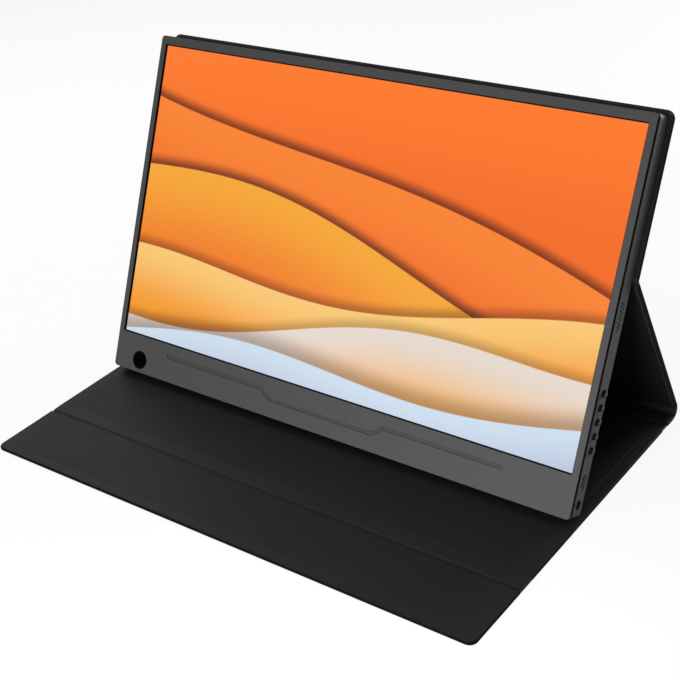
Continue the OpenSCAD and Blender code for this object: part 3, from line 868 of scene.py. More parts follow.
def painted(mesh: Shape, index: int, where: Test) -> None:
    """Gives the faces whose middle is in a place another material index.

    Args:
        mesh: the bmesh.
        index: the index to set.
        where: tells whether a point is in the place.
    """
    for face in mesh.faces:
        if where(face.calc_center_median()):
            face.material_index = index


# ---- the monitor


@dataclass(frozen=True)
class MonitorShell:
    """The front bezel, the rear housing and the liner of the pen hole, in the monitor's frame."""

    width: float = 354.0
    height: float = 226.0
    depth: float = 14.6
    corner_r: float = 2.5
    near: float = 0.1
    rim_edge: float = 0.25
    rim_t: float = 0.5
    rim_in: float = 1.0
    window_half: Flat = (172.9, 97.6)
    window_z: float = 123.0
    window_edge: float = 0.2
    sill_edge: float = 0.6
    channel_edge: float = 0.2
    channel_t: float = 0.3
    # From these depths behind the face, the channel's edges and the sill, the outer side and the window's
    # walls are painted black as shade.
    shade_edge_y: float = 0.05
    shade_side_y: float = 0.2
    shade_window_y: float = 0.24
    pen_x: float = -154.6
    pen_z: float = 8.6
    pen_r: float = 5.75
    liner_wall: float = 0.6
    housing_y: float = 3.5
    housing_edge: float = 0.2
    port_edge: float = 0.15
    ports_top: float = 80.0
    wall_y: Flat = (3.8, 13.4)
    wall_in: float = 1.75
    mouth_x: Flat = (175.3, 176.84)
    mouth_z: Flat = (4.0, 130.0)
    floor_y: float = 12.9
    back_in: float = 3.05
    sound_y: float = 8.7
    sound_z: float = 116.4
    sound_half: Flat = (2.0, 8.5)
    sound_pitch: float = 2.2
    sound_columns: tuple[Flat, Flat] = ((-1.3, 7.7), (1.3, 6.6))
    sound_r: float = 0.55
    sound_flare: float = 1.45

    def outline_gap(self, p: Vector) -> float:
        """Measures how far a point lies inside the monitor's outline, seen from the front.

        Args:
            p: the point.
        Returns:
            The distance, which is negative outside.
        """
        x = abs(p.x) - (self.width / 2 - self.corner_r)
        z = abs(p.z - self.height / 2) - (self.height / 2 - self.corner_r)
        if x > 0 and z > 0:
            return self.corner_r - math.hypot(x, z)
        return self.corner_r - max(x, z)

    def in_window(self, p: Vector) -> bool:
        """Tells whether a point is on the window's rim."""
        x, z = self.window_half
        return abs(p.x) < x + self.near and abs(p.z - self.window_z) < z + self.sill_edge + self.near

    def at_sill(self, p: Vector) -> bool:
        """Tells whether a point is on the window's lower edge, whose wider chamfer is painted black as
        shade.
        """
        above = p.z - (self.window_z - self.window_half[1])
        return self.in_window(p) and -self.sill_edge - self.near < above < self.near

    def in_pen_hole(self, p: Vector) -> bool:
        """Tells whether a point is on the pen hole's rim."""
        away = math.hypot(p.x - self.pen_x, p.z - self.pen_z)
        return away < self.pen_r + self.liner_wall + 2 * self.near

    def at_channel(self, p: Vector) -> bool:
        """Tells whether a point is where the bezel's face has only the engraved channel."""
        return self.outline_gap(p) > self.rim_in and not self.in_window(p) and not self.in_pen_hole(p)

    def on_side(self, p: Vector) -> bool:
        """Tells whether a point is on the flat part of a side wall."""
        return abs(abs(p.x) - self.width / 2) < TOUCH and self.wall_y[0] < p.y < self.wall_y[1]

    def in_mouth(self, p: Vector) -> bool:
        """Tells whether a point is just inside an opening of a side wall."""
        x, y, z = self.mouth_x, self.wall_y, self.mouth_z
        return x[0] < abs(p.x) < x[1] and y[0] < p.y < y[1] and z[0] < p.z < z[1]

    def bezel_black_and_shade(self, p: Vector) -> bool:
        """Tells which places of the bezel are black: its inside, and as painted shade its outer side, its
        window's walls and lower chamfer, and the channel's edges.

        Args:
            p: the place.
        Returns:
            Whether it is black.
        """
        on_edge = self.at_sill(p) or self.at_channel(p) and p.y < self.channel_t - TOUCH
        return (p.y > self.rim_t + TOUCH or p.y > self.shade_window_y and self.in_window(p)
                or p.y > self.shade_edge_y and on_edge
                or p.y > self.shade_side_y and self.outline_gap(p) < self.rim_edge + TOUCH)

    def bezel(self) -> None:
        """Makes the bezel: a soft outer edge, a fine window edge and the engraved channel."""
        def face(where: Test, width: float, steps: int) -> Softening:
            """Rounds the edges of the front face where a test holds."""
            return Softening(lambda p: abs(p.y) < TOUCH and where(p), width, steps)

        mesh = softened("front_bezel", IN_MONITOR, (
            face(lambda p: self.outline_gap(p) < self.near, self.rim_edge, 3),
            face(self.at_sill, self.sill_edge, 2),
            face(self.in_window, self.window_edge, 2),
            face(self.at_channel, self.channel_edge, 1)))
        # Painted shade: the faces behind the channel's depth, its floor among them, get the darker engraved
        # tone.
        painted(mesh, 2, lambda p: p.y > self.channel_t - TOUCH)
        # Painted shade: black on the bezel's outer side, its window's walls and lower chamfer, and the
        # channel's edges; the hidden inside is black too.
        painted(mesh, 1, self.bezel_black_and_shade)
        on_monitor(mesh, "front_bezel_shell", (SPARKED_ABS, BLACK_ABS_AND_SHADE, ENGRAVED_ABS_SHADED), "front_bezel")

    def flare(self, mesh: Shape) -> None:
        """Opens the mouth of each sound hole a little, as a countersink does.

        Args:
            mesh: the housing's bmesh.
        """
        half_y, half_z = self.sound_half
        for vert in mesh.verts:
            across, up = vert.co.y - self.sound_y, vert.co.z - self.sound_z
            if not self.on_side(vert.co) or abs(across) > half_y or abs(up) > half_z:
                continue
            column, first = self.sound_columns[across >= 0]
            row_z = first - round((first - up) / self.sound_pitch) * self.sound_pitch
            middle = Vector((vert.co.x, self.sound_y + column, self.sound_z + row_z))
            if (vert.co - middle).length < self.sound_r + TOUCH:
                vert.co = middle + (vert.co - middle) * self.sound_flare

    def housing(self) -> None:
        """Makes the housing: softened front edge, holes and screw seats, and black paint as shade on the
        parting groove and in the openings.
        """
        mesh = softened("rear_housing", IN_MONITOR, (
            Softening(lambda p: abs(p.y - self.housing_y) < 2 * TOUCH and self.outline_gap(p) < self.near,
                      self.housing_edge, 2),
            Softening(lambda p: self.on_side(p) and p.z < self.ports_top, self.port_edge, 2),
            Softening(lambda p: abs(p.y - self.depth) < TOUCH and self.outline_gap(p) > self.back_in,
                      self.port_edge, 1)))
        self.flare(mesh)
        # Painted shade: black on the parting groove's front wall and on the walls of the side openings and
        # sound holes; the hidden inner walls are black too.
        painted(mesh, 1, lambda p: p.y < self.housing_y + TOUCH or self.in_mouth(p)
                or self.outline_gap(p) > self.wall_in and p.y < self.floor_y)
        on_monitor(mesh, "rear_housing_shell", (SPARKED_ABS, BLACK_ABS_AND_SHADE), "rear_housing")

    def liner(self) -> None:
        """Makes the pen hole's liner, with a chamfer at each mouth."""
        outer, inner, end = self.pen_r + self.liner_wall, self.pen_r, self.depth
        profile = [(0.25, outer), (0.05, outer - 0.15), (0.0, outer - 0.25), (0.04, inner + 0.25),
                   (0.35, inner), (3.0, inner), (end - 0.5, inner), (end - 0.1, inner + 0.35),
                   (end, outer - 0.1), (end - 0.2, outer)]
        mesh = lathed(profile, about_y(self.pen_x, 0.0, self.pen_z), 96, closed=True)
        on_monitor(mesh, "pen_hole_tube", (BLACK_ABS_AND_SHADE,), "pen_hole_liner")

    def build(self) -> None:
        """Builds the shell's three pieces."""
        self.bezel()
        self.housing()
        self.liner()


@dataclass(frozen=True)
class ScreenPanel:
    """The liquid-crystal cell behind the window, in the monitor's frame."""

    low: Point = (-174.3, 1.4, 21.2)
    high: Point = (174.3, 2.6, 222.0)
    edge: float = 0.15

    def build(self) -> None:
        """Makes the cell with its ground glass edges."""
        mesh = bmesh.new()
        box_faces(mesh, self.low, self.high, self.edge)
        piece = on_monitor(mesh, "lit_cell", (LitPicture(),), "lcd_cell")
        piece.visible_diffuse = piece.visible_glossy = False


@dataclass(frozen=True)
class ControlButtons:
    """The row of push buttons in the right side wall, in the monitor's frame."""

    count: int = 5
    first_z: float = 40.0
    pitch: float = 8.2
    y: float = 9.0
    back_x: float = 172.6
    face_x: float = 178.9
    cap_r: float = 1.9
    collar: tuple[float, float, float] = (174.4, 175.1, 2.75)
    paint_x: float = 178.66

    def profile(self) -> list[Flat]:
        """Outline of a cap from its stub to its dished face.

        Returns:
            Points of place along X and radius.
        """
        inner, outer, wide = self.collar
        r, face, back = self.cap_r, self.face_x, self.back_x
        return [(back, 0.85), (back + 0.1, 1.0), (back + 0.25, 1.0), (back + 0.27, r - 0.1),
                (back + 0.4, r), (inner, r), (inner + 0.05, wide - 0.05), (inner + 0.1, wide),
                (outer - 0.1, wide), (outer, wide - 0.1), (outer + 0.02, r), (face - 0.9, r),
                (face - 0.6, r - 0.04), (face - 0.36, r - 0.14), (face - 0.24, r - 0.24),
                (face - 0.1, r - 0.4), (face - 0.02, r - 0.6), (face, r - 0.85), (face - 0.04, 0.6),
                (face - 0.06, 0.25)]

    def build(self) -> None:
        """Makes one cap for each button body."""
        for i in range(self.count):
            z = self.first_z + i * self.pitch
            mesh = lathed(self.profile(), about_x(0.0, self.y, z), 40)
            painted(mesh, 1, lambda p: p.x < self.paint_x)
            name = f"button_{i + 1}"
            dressed(finished(mesh, name + "_cap", IN_MONITOR), (SPARKED_ABS, BLACK_ABS_AND_SHADE), name, name)


@dataclass(frozen=True)
class Socket:
    """One socket in a side wall and where its tongue lies."""

    node: str
    side: Side
    z: float
    tongue_half: float
    contacts: int


@dataclass(frozen=True)
class SidePorts:
    """The sockets of both side walls, in the monitor's frame."""

    mouth_x: float = 176.5
    mouth_edge: float = 0.06
    bare_l: float = 0.5
    y: float = 8.6
    # Half depth and extra height of the black painted as shade inside each socket.
    dark_half_y: float = 1.4
    dark_margin_z: float = 1.7
    contact_in: float = 3.6
    contact_up: float = 0.35
    contact_half: Point = (1.2, 0.03, 0.12)
    contact_pitch: float = 0.5
    jack_x: float = 176.6
    jack_y: float = 8.0
    jack_z: float = 8.0
    jack_bore: float = 1.8
    sockets: tuple[Socket, ...] = (
        Socket("usb_c_socket", Side.RIGHT, 21.3, 3.35, 12),
        Socket("usb_c_power_socket", Side.LEFT, 60.0, 3.35, 12),
        Socket("mini_hdmi_socket", Side.LEFT, 44.0, 3.8, 14),
    )

    def socket(self, item: Socket) -> None:
        """Makes a drawn steel shell with a rolled mouth and a black tongue; the shell's inside is painted
        black as shade deep in the socket.

        Args:
            item: the socket.
        """
        mesh = softened(item.node, IN_MONITOR, (
            Softening(lambda p: abs(abs(p.x) - self.mouth_x) < TOUCH, self.mouth_edge, 2),))
        half_z, end_x = item.tongue_half + self.dark_margin_z, self.mouth_x - self.bare_l
        # Painted shade: black over the tongue and the inside of the shell, all but the bare steel at the
        # mouth.
        painted(mesh, 1, lambda p: abs(p.x) < end_x and abs(p.y - self.y) < self.dark_half_y
                and abs(p.z - item.z) < half_z)
        on_monitor(mesh, item.node + "_shell", (STEEL, BLACK_ABS_AND_SHADE), item.node)

    def contacts(self, item: Socket, tree: PathTree) -> None:
        """Sets the contact strips on the upper face of a tongue.

        Args:
            item: the socket.
            tree: the tree that repeats a part.
        """
        strip = bmesh.new()
        box_faces(strip, tuple(-v for v in self.contact_half), self.contact_half, 0.02)
        part = finished(strip, item.node + "_strip", Matrix.Identity(4), weighted=False)
        start = item.z - (item.contacts - 1) * self.contact_pitch / 2
        x, y = item.side.value * (self.mouth_x - self.contact_in), self.y - self.contact_up
        spots = [(x, y, start + i * self.contact_pitch) for i in range(item.contacts)]
        piece = tree.run(item.node + "_contacts", NICKEL, spots, Part=part, Turn=LEANT)
        bpy.data.objects.remove(part)
        dressed(piece, (NICKEL,), "monitor")

    def headphone(self) -> None:
        """Makes the headphone socket: a black body with a plated sleeve in its mouth."""
        mesh = softened("headphone_socket", IN_MONITOR, (
            Softening(lambda p: abs(p.x - self.jack_x) < TOUCH, 0.2, 2),))
        on_monitor(mesh, "headphone_socket_body", (BLACK_ABS_AND_SHADE,), "headphone_socket")
        r = self.jack_bore
        profile = [(-6.0, r - 0.02), (-0.9, r - 0.02), (-0.75, r - 0.06), (-0.75, r - 0.2),
                   (-0.9, r - 0.25), (-6.0, r - 0.25)]
        sleeve = lathed(profile, about_x(self.jack_x, self.jack_y, self.jack_z), 40, closed=True)
        on_monitor(sleeve, "headphone_sleeve", (NICKEL,))

    def build(self, tree: PathTree) -> None:
        """Builds every socket.

        Args:
            tree: the tree that repeats a part.
        """
        for item in self.sockets:
            self.socket(item)
            self.contacts(item, tree)
        self.headphone()


@dataclass(frozen=True)
class SpeakerMesh:
    """The woven cloth behind each row of sound holes, in the monitor's frame."""

    x: float = 175.05
    y: Flat = (5.85, 11.55)
    z: Flat = (106.1, 126.7)
    pitch: float = 0.56
    thread_r: float = 0.1
    sway: float = 0.09

    def lines(self, side: Side) -> tuple[list[Point], list[tuple[int, int]]]:
        """Lays out the threads of both ways, each over and under its neighbours.

        Args:
            side: the side wall.
        Returns:
            The points and the edges between them.
        """
        ys = [self.y[0] + i * self.pitch for i in range(round((self.y[1] - self.y[0]) / self.pitch) + 1)]
        zs = [self.z[0] + i * self.pitch for i in range(round((self.z[1] - self.z[0]) / self.pitch) + 1)]
        points: list[Point] = []
        edges: list[tuple[int, int]] = []
        for rows, line, warp in ((ys, zs, 1), (zs, ys, -1)):
            for i, a in enumerate(rows):
                first = len(points)
                for j, b in enumerate(line):
                    x = side.value * (self.x + warp * self.sway * (1 if (i + j) % 2 else -1))
                    points.append((x, a, b) if warp == 1 else (x, b, a))
                edges += [(k, k + 1) for k in range(first, len(points) - 1)]
        return points, edges

    def build(self, tree: PathTree) -> None:
        """Weaves both cloths.

        Args:
            tree: the tree that lays a thread along a path.
        """
        for side in Side:
            points, edges = self.lines(side)
            word = side.name.lower()
            piece = tree.run(f"speaker_cloth_{word}", THREAD, points, edges,
                             **{"Radius": self.thread_r * MM, "Faces round": 5})
            dressed(piece, (THREAD,), "monitor", f"speaker_mesh_{word}")


@dataclass(frozen=True)
class HousingScrews:
    """The case screws in the back of the housing, in the monitor's frame."""

    head_y: float = 14.4
    head_r: float = 2.1
    head_t: float = 1.0
    shaft_r: float = 1.0
    top_z: float = 218.5
    top_x: tuple[float, ...] = (-166.0, -56.0, 56.0, 166.0)
    top_end: float = 5.6
    foot_z: float = 10.0
    foot_x: tuple[float, ...] = (-168.6, -60.0, 66.0, 155.0)
    foot_end: float = 5.2

    def screw(self, end: float) -> Thing:
        """Makes one screw, its head's face at zero and its shaft down along -Y.

        Args:
            end: where its tip lies, in the monitor's frame.
        Returns:
            The part to repeat.
        """
        r, t, tip = self.head_r, self.head_t, end - self.head_y
        profile = [(tip, 0.5), (tip + 0.5, self.shaft_r), (-t, self.shaft_r), (-t, r - 0.08),
                   (-t + 0.08, r), (-0.35, r), (-0.15, r - 0.08), (0.0, r - 0.35), (0.0, 1.2)]
        shape = lathed(profile, about_y(0, 0, 0), 32)
        part = finished(shape, "case_screw", Matrix.Identity(4), weighted=False)
        cross = bmesh.new()
        box_faces(cross, (-0.95, -0.55, -0.24), (0.95, 0.4, 0.24), 0.05)
        box_faces(cross, (-0.24, -0.56, -0.95), (0.24, 0.41, 0.95), 0.05)
        tool = finished(cross, "cross", Matrix.Identity(4), weighted=False)
        cut = part.modifiers.new("cross", "BOOLEAN")
        cut.operation, cut.object, cut.solver = "DIFFERENCE", tool, "EXACT"
        cut.use_self = True
        data = bpy.data.meshes.new_from_object(part.evaluated_get(bpy.context.evaluated_depsgraph_get()))
        part.modifiers.clear()
        part.data = data
        bpy.data.objects.remove(tool)
        return part

    def build(self, tree: PathTree) -> None:
        """Sets both rows of screws.

        Args:
            tree: the tree that repeats a part.
        """
        rows = []
        for name, xs, z, end in (("top", self.top_x, self.top_z, self.top_end),
                                 ("foot", self.foot_x, self.foot_z, self.foot_end)):
            part = self.screw(end)
            spots = [(x, self.head_y, z) for x in xs]
            rows.append(tree.run(f"case_screws_{name}", STEEL, spots, Part=part, Turn=LEANT))
            bpy.data.objects.remove(part)
        dressed(rows[0], (STEEL,), "monitor", "housing_screws")
        dressed(rows[1], (STEEL,), "monitor")


# ---- the cover


def laid_flat(mesh: Shape, along: Callable[[bmesh.types.BMVert], float]) -> None:
    """Lays the grain on a shape as it lies on the whole cover when that is unrolled.

    Args:
        mesh: the shape, with X across the cover.
        along: how far a vertex lies from the flap's free edge, in millimetres.
    """
    layer = mesh.loops.layers.uv.new("unrolled")
    for face in mesh.faces:
        for loop in face.loops:
            loop[layer].uv = (loop.vert.co.x * MM, along(loop.vert) * MM)


@dataclass(frozen=True)
class CoverPanel:
    """One stiff panel of the cover: a leather skin turned over a board, and a lining on its inner face.

    Its own frame has the outer face at z = 0, the lining's face at its thickness, and y from end to end.
    The hem shows between the lining and the edges that are free.
    """

    name: str
    body: str
    length: float
    frame: Matrix
    unrolled: float
    near_r: float = 0.0
    far_r: float = 0.0
    half_w: float = 180.0
    thick: float = STAND.cover_t
    hem: float = 7.0
    hem_drop: float = 0.12
    edge_r: float = 0.95
    crease_r: float = 0.5
    least_r: float = 0.3
    beside: float = 0.4
    flat_in: float = 6.0
    end_shift: float = 1.0
    pressed: Flat = (1.9, 2.5)
    press_t: float = 0.1
    # Length and height of the painted highlight on the lifted end's inner hem.
    highlight_l: float = 2.4
    highlight_z: float = 0.6

    def ring(self, side: float, z: float, end: float) -> list[Point]:
        """One loop of the skin, drawn in from the outline.

        Args:
            side: how far it lies in from a free edge.
            z: its height.
            end: how far it lies in from a creased end.
        Returns:
            The loop.
        """
        radii = (max(self.near_r - side, self.least_r), max(self.far_r - side, self.least_r))
        near, far = side if self.near_r else end, side if self.far_r else end
        return [(x, y, z) for x, y in rounded(self.half_w - side, near, self.length - far, radii, 8)]

    def rubbed(self, p: Vector) -> bool:
        """Tells whether a place gets the painted highlight: the lifted end's inner hem, and the strut's
        pressed line.

        Args:
            p: the place, in the panel's frame.
        Returns:
            Whether it gets the painted highlight.
        """
        if self.far_r:
            return p.y > self.length - self.highlight_l and p.z > self.highlight_z
        start, end = self.pressed
        on_line = start < self.half_w - abs(p.x) < end
        return self.body == "strut" and p.z > self.thick - self.highlight_z and on_line

    def skin(self) -> None:
        """Makes the skin, with rounded edges and the pressed line beside them."""
        r, top = self.edge_r, self.thick - self.hem_drop
        share = self.crease_r / r
        inner = min(self.flat_in, self.length / 2 - self.end_shift)
        turns = [math.radians(90 * i / 5) for i in range(6)]
        low = [(r * (1 - math.sin(a)), r * (1 - math.cos(a))) for a in turns]
        edge = low + [(s, top - z) for s, z in reversed(low)]
        rows = [(inner, 0.0, inner), (r + self.beside, 0.0, self.crease_r + self.beside)]
        rows += [(s, z, s * share) for s, z in edge]
        start, end = self.pressed
        for i, drop in enumerate((0.0, self.press_t, self.press_t, 0.0)):
            side = start + (end - start) * i / 3
            rows.append((side, top - drop, side - self.end_shift))
        rows.append((inner, top, inner))
        mesh = skinned([self.ring(*row) for row in rows])
        rim = mesh.verts.layers.float.new("edge")
        count = len(self.ring(0.0, 0.0, 0.0))
        for i, v in enumerate(mesh.verts):
            v[rim] = float(2 <= i // count < len(edge))
        laid_flat(mesh, lambda v: v.co.y + self.unrolled)
        # Painted highlight: paler leather on the upper panel's inner hem and on the strut's pressed line.
        painted(mesh, 1, self.rubbed)
        has_highlight = any(f.material_index for f in mesh.faces)
        self.dress(mesh, "skin", "leather", (LEATHER, LEATHER_PAINTED_HIGHLIGHT) if has_highlight else (LEATHER,))

    def lining(self) -> None:
        """Makes the lining: pressed edges along the hem, rolled over at each crease."""
        top = self.thick
        near = self.hem if self.near_r else 0.0
        far = self.hem if self.far_r else 0.0
        profile = ((0.0, 0.0, 1.9), (0.0, 0.0, 2.1), (0.03, 0.1, top - 0.26), (0.2, 0.26, top - 0.11),
                   (0.6, 0.5, top - 0.05), (1.2, 0.85, top), (1.8, 1.4, top))
        rows = []
        for side, end, z in profile:
            flat = rounded(self.half_w - self.hem - side, near + (side if near else end),
                           self.length - far - (side if far else end), (0.8, 0.8), 4)
            rows.append([(x, y, z) for x, y in flat])
        mesh = skinned(rows)
        laid_flat(mesh, lambda v: v.co.y + self.unrolled)
        self.dress(mesh, "lining", "sheet", (LINING,))

    def dress(self, mesh: Shape, layer: str, word: str, finishes: Sequence[Finish]) -> None:
        """Finishes one layer of the panel, which stands for the node of that layer."""
        node = f"{self.name}_{layer}"
        dressed(finished(mesh, f"{node}_{word}", self.frame), finishes, self.body, node)

    def build(self) -> None:
        """Builds the panel's skin and lining."""
        self.skin()
        self.lining()


@dataclass(frozen=True)
class Crease:
    """A strip of bonded skins with no board, which bends between two panels.

    Its path lies in the model's Y-Z plane, from the first body to the second, in millimetres. Either face
    may stand off the path by its own amount at each point, as where a groove is pressed into it.
    """

    node: str
    bodies: tuple[str, str]
    path: tuple[Flat, ...]
    hold: tuple[Flat, Flat]
    unrolled: float
    half_t: float = 0.6
    half_w: float = 179.8
    inner_t: tuple[float, ...] = ()
    outer_t: tuple[float, ...] = ()

    def section(self, share: float) -> list[Point]:
        """Outline of the strip across its path.

        Args:
            share: how much of its thickness it keeps, for the rounded side edges.
        Returns:
            Points of y, z and place along the path.
        """
        run, one, other = 0.0, [], []
        for i, (y, z) in enumerate(self.path):
            before, after = self.path[max(i - 1, 0)], self.path[min(i + 1, len(self.path) - 1)]
            ty, tz = after[0] - before[0], after[1] - before[1]
            size = math.hypot(ty, tz)
            off = (self.outer_t[i] if self.outer_t else self.half_t) * share
            inner = (self.inner_t[i] if self.inner_t else self.half_t) * share
            if i:
                run += math.hypot(y - self.path[i - 1][0], z - self.path[i - 1][1])
            one.append((y - tz / size * off, z + ty / size * off, run))
            other.append((y + tz / size * inner, z - ty / size * inner, run))
        return one + other[::-1]

    def build(self) -> None:
        """Makes the strip between its two bodies."""
        ends = ((0.0, 0.35), (0.15, 0.7), (0.45, 0.92), (0.9, 1.0), (4.0, 1.0))
        stations = [(d - self.half_w, s) for d, s in ends]
        stations += [(-x, s) for x, s in reversed(stations)]
        rows = [[(x, y, z) for y, z, _ in self.section(share)] for x, share in stations]
        mesh = skinned(rows)
        places = [p[2] for p in self.section(1.0)]
        mesh.verts.index_update()
        laid_flat(mesh, lambda v: self.unrolled + places[v.index % len(places)])
        piece = finished(mesh, self.node + "_leather", Matrix.Identity(4), sharp=60, weighted=False)
        piece.data.materials.append(LEATHER.material())
        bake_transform(piece)
        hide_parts(self.node)
        LOG.info("%s bends between %s and %s", piece.name, *self.bodies)


def smooth_path(start: Flat, pull: Flat, push: Flat, end: Flat, steps: int = 14) -> tuple[Flat, ...]:
    """Draws a curve between two panels.

    Args:
        start: its first point.
        pull: the point that it leaves towards.
        push: the point that it arrives from.
        end: its last point.
        steps: the number of stretches.
    Returns:
        The points.
    """
    made = []
    for t in (i / steps for i in range(steps + 1)):
        pulls = ((1 - t) ** 3, 3 * t * (1 - t) ** 2, 3 * t * t * (1 - t), t ** 3)
        y, z = (sum(w * v for w, v in zip(pulls, line)) for line in zip(start, pull, push, end))
        made.append((y, z))
    return tuple(made)


@dataclass(frozen=True)
class FoldingCover:
    """The cover: five stiff panels joined by four creases."""

    flap_y: Flat = (-122.6, -74.2)
    base_y: Flat = (-62.2, 100.8)
    spine_y: Flat = (108.0, 116.6)
    outer_r: float = 6.0
    fold_t: float = 2.0
    tuck: float = 0.4
    valley: float = 0.18
    corner_r: float = 5.0
    half_w: float = 180.0
    under_gap: float = 0.3
    back_gap: float = 2.0
    groove_y: float = -73.2
    groove_w: float = 1.0
    groove_depth: float = 0.7
    back_half_t: float = 1.27
    back_dip: float = 0.3
    strut_face: float = 1.7
    panel_starts: tuple[float, ...] = (0.0, 60.4, 230.6, 250.0, 385.0)
    crease_starts: tuple[float, ...] = (48.4, 223.4, 239.2, 381.0)
    upper_l: float = 91.3
    inner_z: float = 2.52
    sink: float = 0.34
    lip: float = 0.12
    lip_in: float = 0.6
    lip_w: float = 0.5

    def panels(self) -> tuple[CoverPanel, ...]:
        """Lists the panels in order from the free edge of the flap.

        Returns:
            The panels.
        """
        on_edge = Matrix.Rotation(math.radians(90), 4, "X")
        strut = IN_STRUT @ Matrix.Translation((0, self.strut_face, -STAND.axis_up)) @ on_edge
        back = (0, STAND.mon_t + STAND.cover_t, STAND.crease_z + self.back_gap)
        upper = IN_MONITOR @ Matrix.Translation(back) @ on_edge
        starts = self.panel_starts

        def flat(name: str, body: str, y: Flat, start: float, near_r: float = 0.0) -> CoverPanel:
            """Lays a panel on the table between two places along Y."""
            return CoverPanel(name, body, y[1] - y[0], Matrix.Translation((0, y[0], 0)), start, near_r)

        return (
            flat("flap", "front_flap", self.flap_y, starts[0], self.corner_r),
            flat("base", "base", self.base_y, starts[1]),
            flat("spine", "spine", self.spine_y, starts[2]),
            CoverPanel("strut", "strut", STAND.axis_up - self.back_gap, strut, starts[3]),
            CoverPanel("upper", "monitor", self.upper_l, upper, starts[4], far_r=self.corner_r),
        )

    def pressed(self, path: Sequence[Flat]) -> tuple[float, ...]:
        """Lays the front crease's inner face: level with the base, sinking to a groove beside the flap.

        Args:
            path: the crease's path.
        Returns:
            How far the inner face stands off each point.
        """
        made = []
        for y, z in path:
            sunk = (self.base_y[0] - y) / (self.base_y[0] - self.groove_y)
            level = self.inner_z - self.sink * min(max(sunk, 0.0), 1.0) ** 1.5
            depth = math.exp(-((y - self.groove_y) / self.groove_w) ** 2)
            lip = self.lip * math.exp(-((self.base_y[0] - self.lip_in - y) / self.lip_w) ** 2)
            made.append(level - self.groove_depth * depth + lip - z)
        return tuple(made)

    def flat_path(self, y0: float, y1: float, steps: int = 12) -> tuple[Flat, ...]:
        """Path of a crease that lies flat, a little hollow in its middle."""
        return tuple((y0 + (y1 - y0) * i / steps, HALF_T - self.valley * math.sin(math.pi * i / steps))
                     for i in range(steps + 1))

    def round_path(self) -> tuple[Flat, ...]:
        """Path of the rear fold round its axis, tucked a little into both panels.

        Returns:
            The points.
        """
        r, turn, steps = self.outer_r - self.fold_t / 2, 90 + STAND.strut_turn, 20
        made = [(STAND.fold_y - self.tuck, STAND.pivot_z - r)]
        for i in range(steps + 1):
            a = math.radians(-90 + turn * i / steps)
            made.append((STAND.fold_y + r * math.cos(a), STAND.pivot_z + r * math.sin(a)))
        a = math.radians(STAND.strut_turn)
        made.append((made[-1][0] - self.tuck * math.sin(a), made[-1][1] + self.tuck * math.cos(a)))
        return tuple(made)

    def back_path(self) -> tuple[Flat, ...]:
        """Path of the back crease from the strut's top end to the upper panel.

        Returns:
            The points.
        """
        pull, tuck = self.back_gap - HALF_T, self.back_gap + self.tuck
        ends = [IN_STRUT @ Vector((0, self.strut_face - HALF_T, z)) for z in (-tuck, -pull)]
        ends += [IN_MONITOR @ Vector((0, STAND.mon_t + HALF_T, STAND.crease_z + z)) for z in (pull, tuck)]
        return smooth_path(*((p.y, p.z) for p in ends))

    def creases(self) -> tuple[Crease, ...]:
        """Lists the creases.

        Returns:
            The creases.
        """
        t, back, turned_over = self.tuck, self.back_path(), self.round_path()
        flap = self.flat_path(self.base_y[0] + t, self.flap_y[1] - t, 26)
        spine = self.flat_path(self.base_y[1] - t, self.spine_y[0] + t)
        dip = tuple(self.back_half_t - self.back_dip * math.sin(math.pi * i / (len(back) - 1))
                    for i in range(len(back)))
        flap_u, spine_u, fold_u, back_u = self.crease_starts
        return (
            Crease("flap_crease", ("base", "front_flap"), flap,
                   ((self.base_y[0], HALF_T), (self.flap_y[1], HALF_T)), flap_u, half_w=self.half_w,
                   inner_t=self.pressed(flap), outer_t=tuple(z - self.under_gap for _, z in flap)),
            Crease("spine_crease", ("base", "spine"), spine,
                   ((self.base_y[1], HALF_T), (self.spine_y[0], HALF_T)), spine_u),
            Crease("rear_fold", ("spine", "strut"), turned_over, (turned_over[1], turned_over[-2]), fold_u,
                   half_t=self.fold_t / 2),
            Crease("back_crease", ("strut", "monitor"), back, (back[1], back[-2]), back_u,
                   half_w=self.half_w, inner_t=dip, outer_t=(self.back_half_t,) * len(back)),
        )

    def build(self) -> None:
        """Builds the panels, then the creases between them."""
        for panel in self.panels():
            panel.build()
        for crease in self.creases():
            crease.build()


# ---- the plain nodes and the studio


@dataclass(frozen=True)
class InnerParts:
    """The model's own nodes that stay, each with the finish of its real material."""

    finishes: dict[Finish, tuple[str, ...]] = field(default_factory=lambda: NODE_FINISHES)

    def dress(self, nodes: dict[str, Thing]) -> None:
        """Puts each finish in the material slots of its nodes.

        Args:
            nodes: the model's nodes by name.
        """
        for finish, names in self.finishes.items():
            for name in names:
                data = nodes[name].data
                data.materials.clear()
                data.materials.append(finish.material())
                LOG.info("%s has %s", name, finish.name)


@dataclass(frozen=True)
class Lamp:
    """One soft box: where it stands and what it aims at, in metres."""

    name: str
    place: Point
    aim: Point
    size: Flat
    power: float


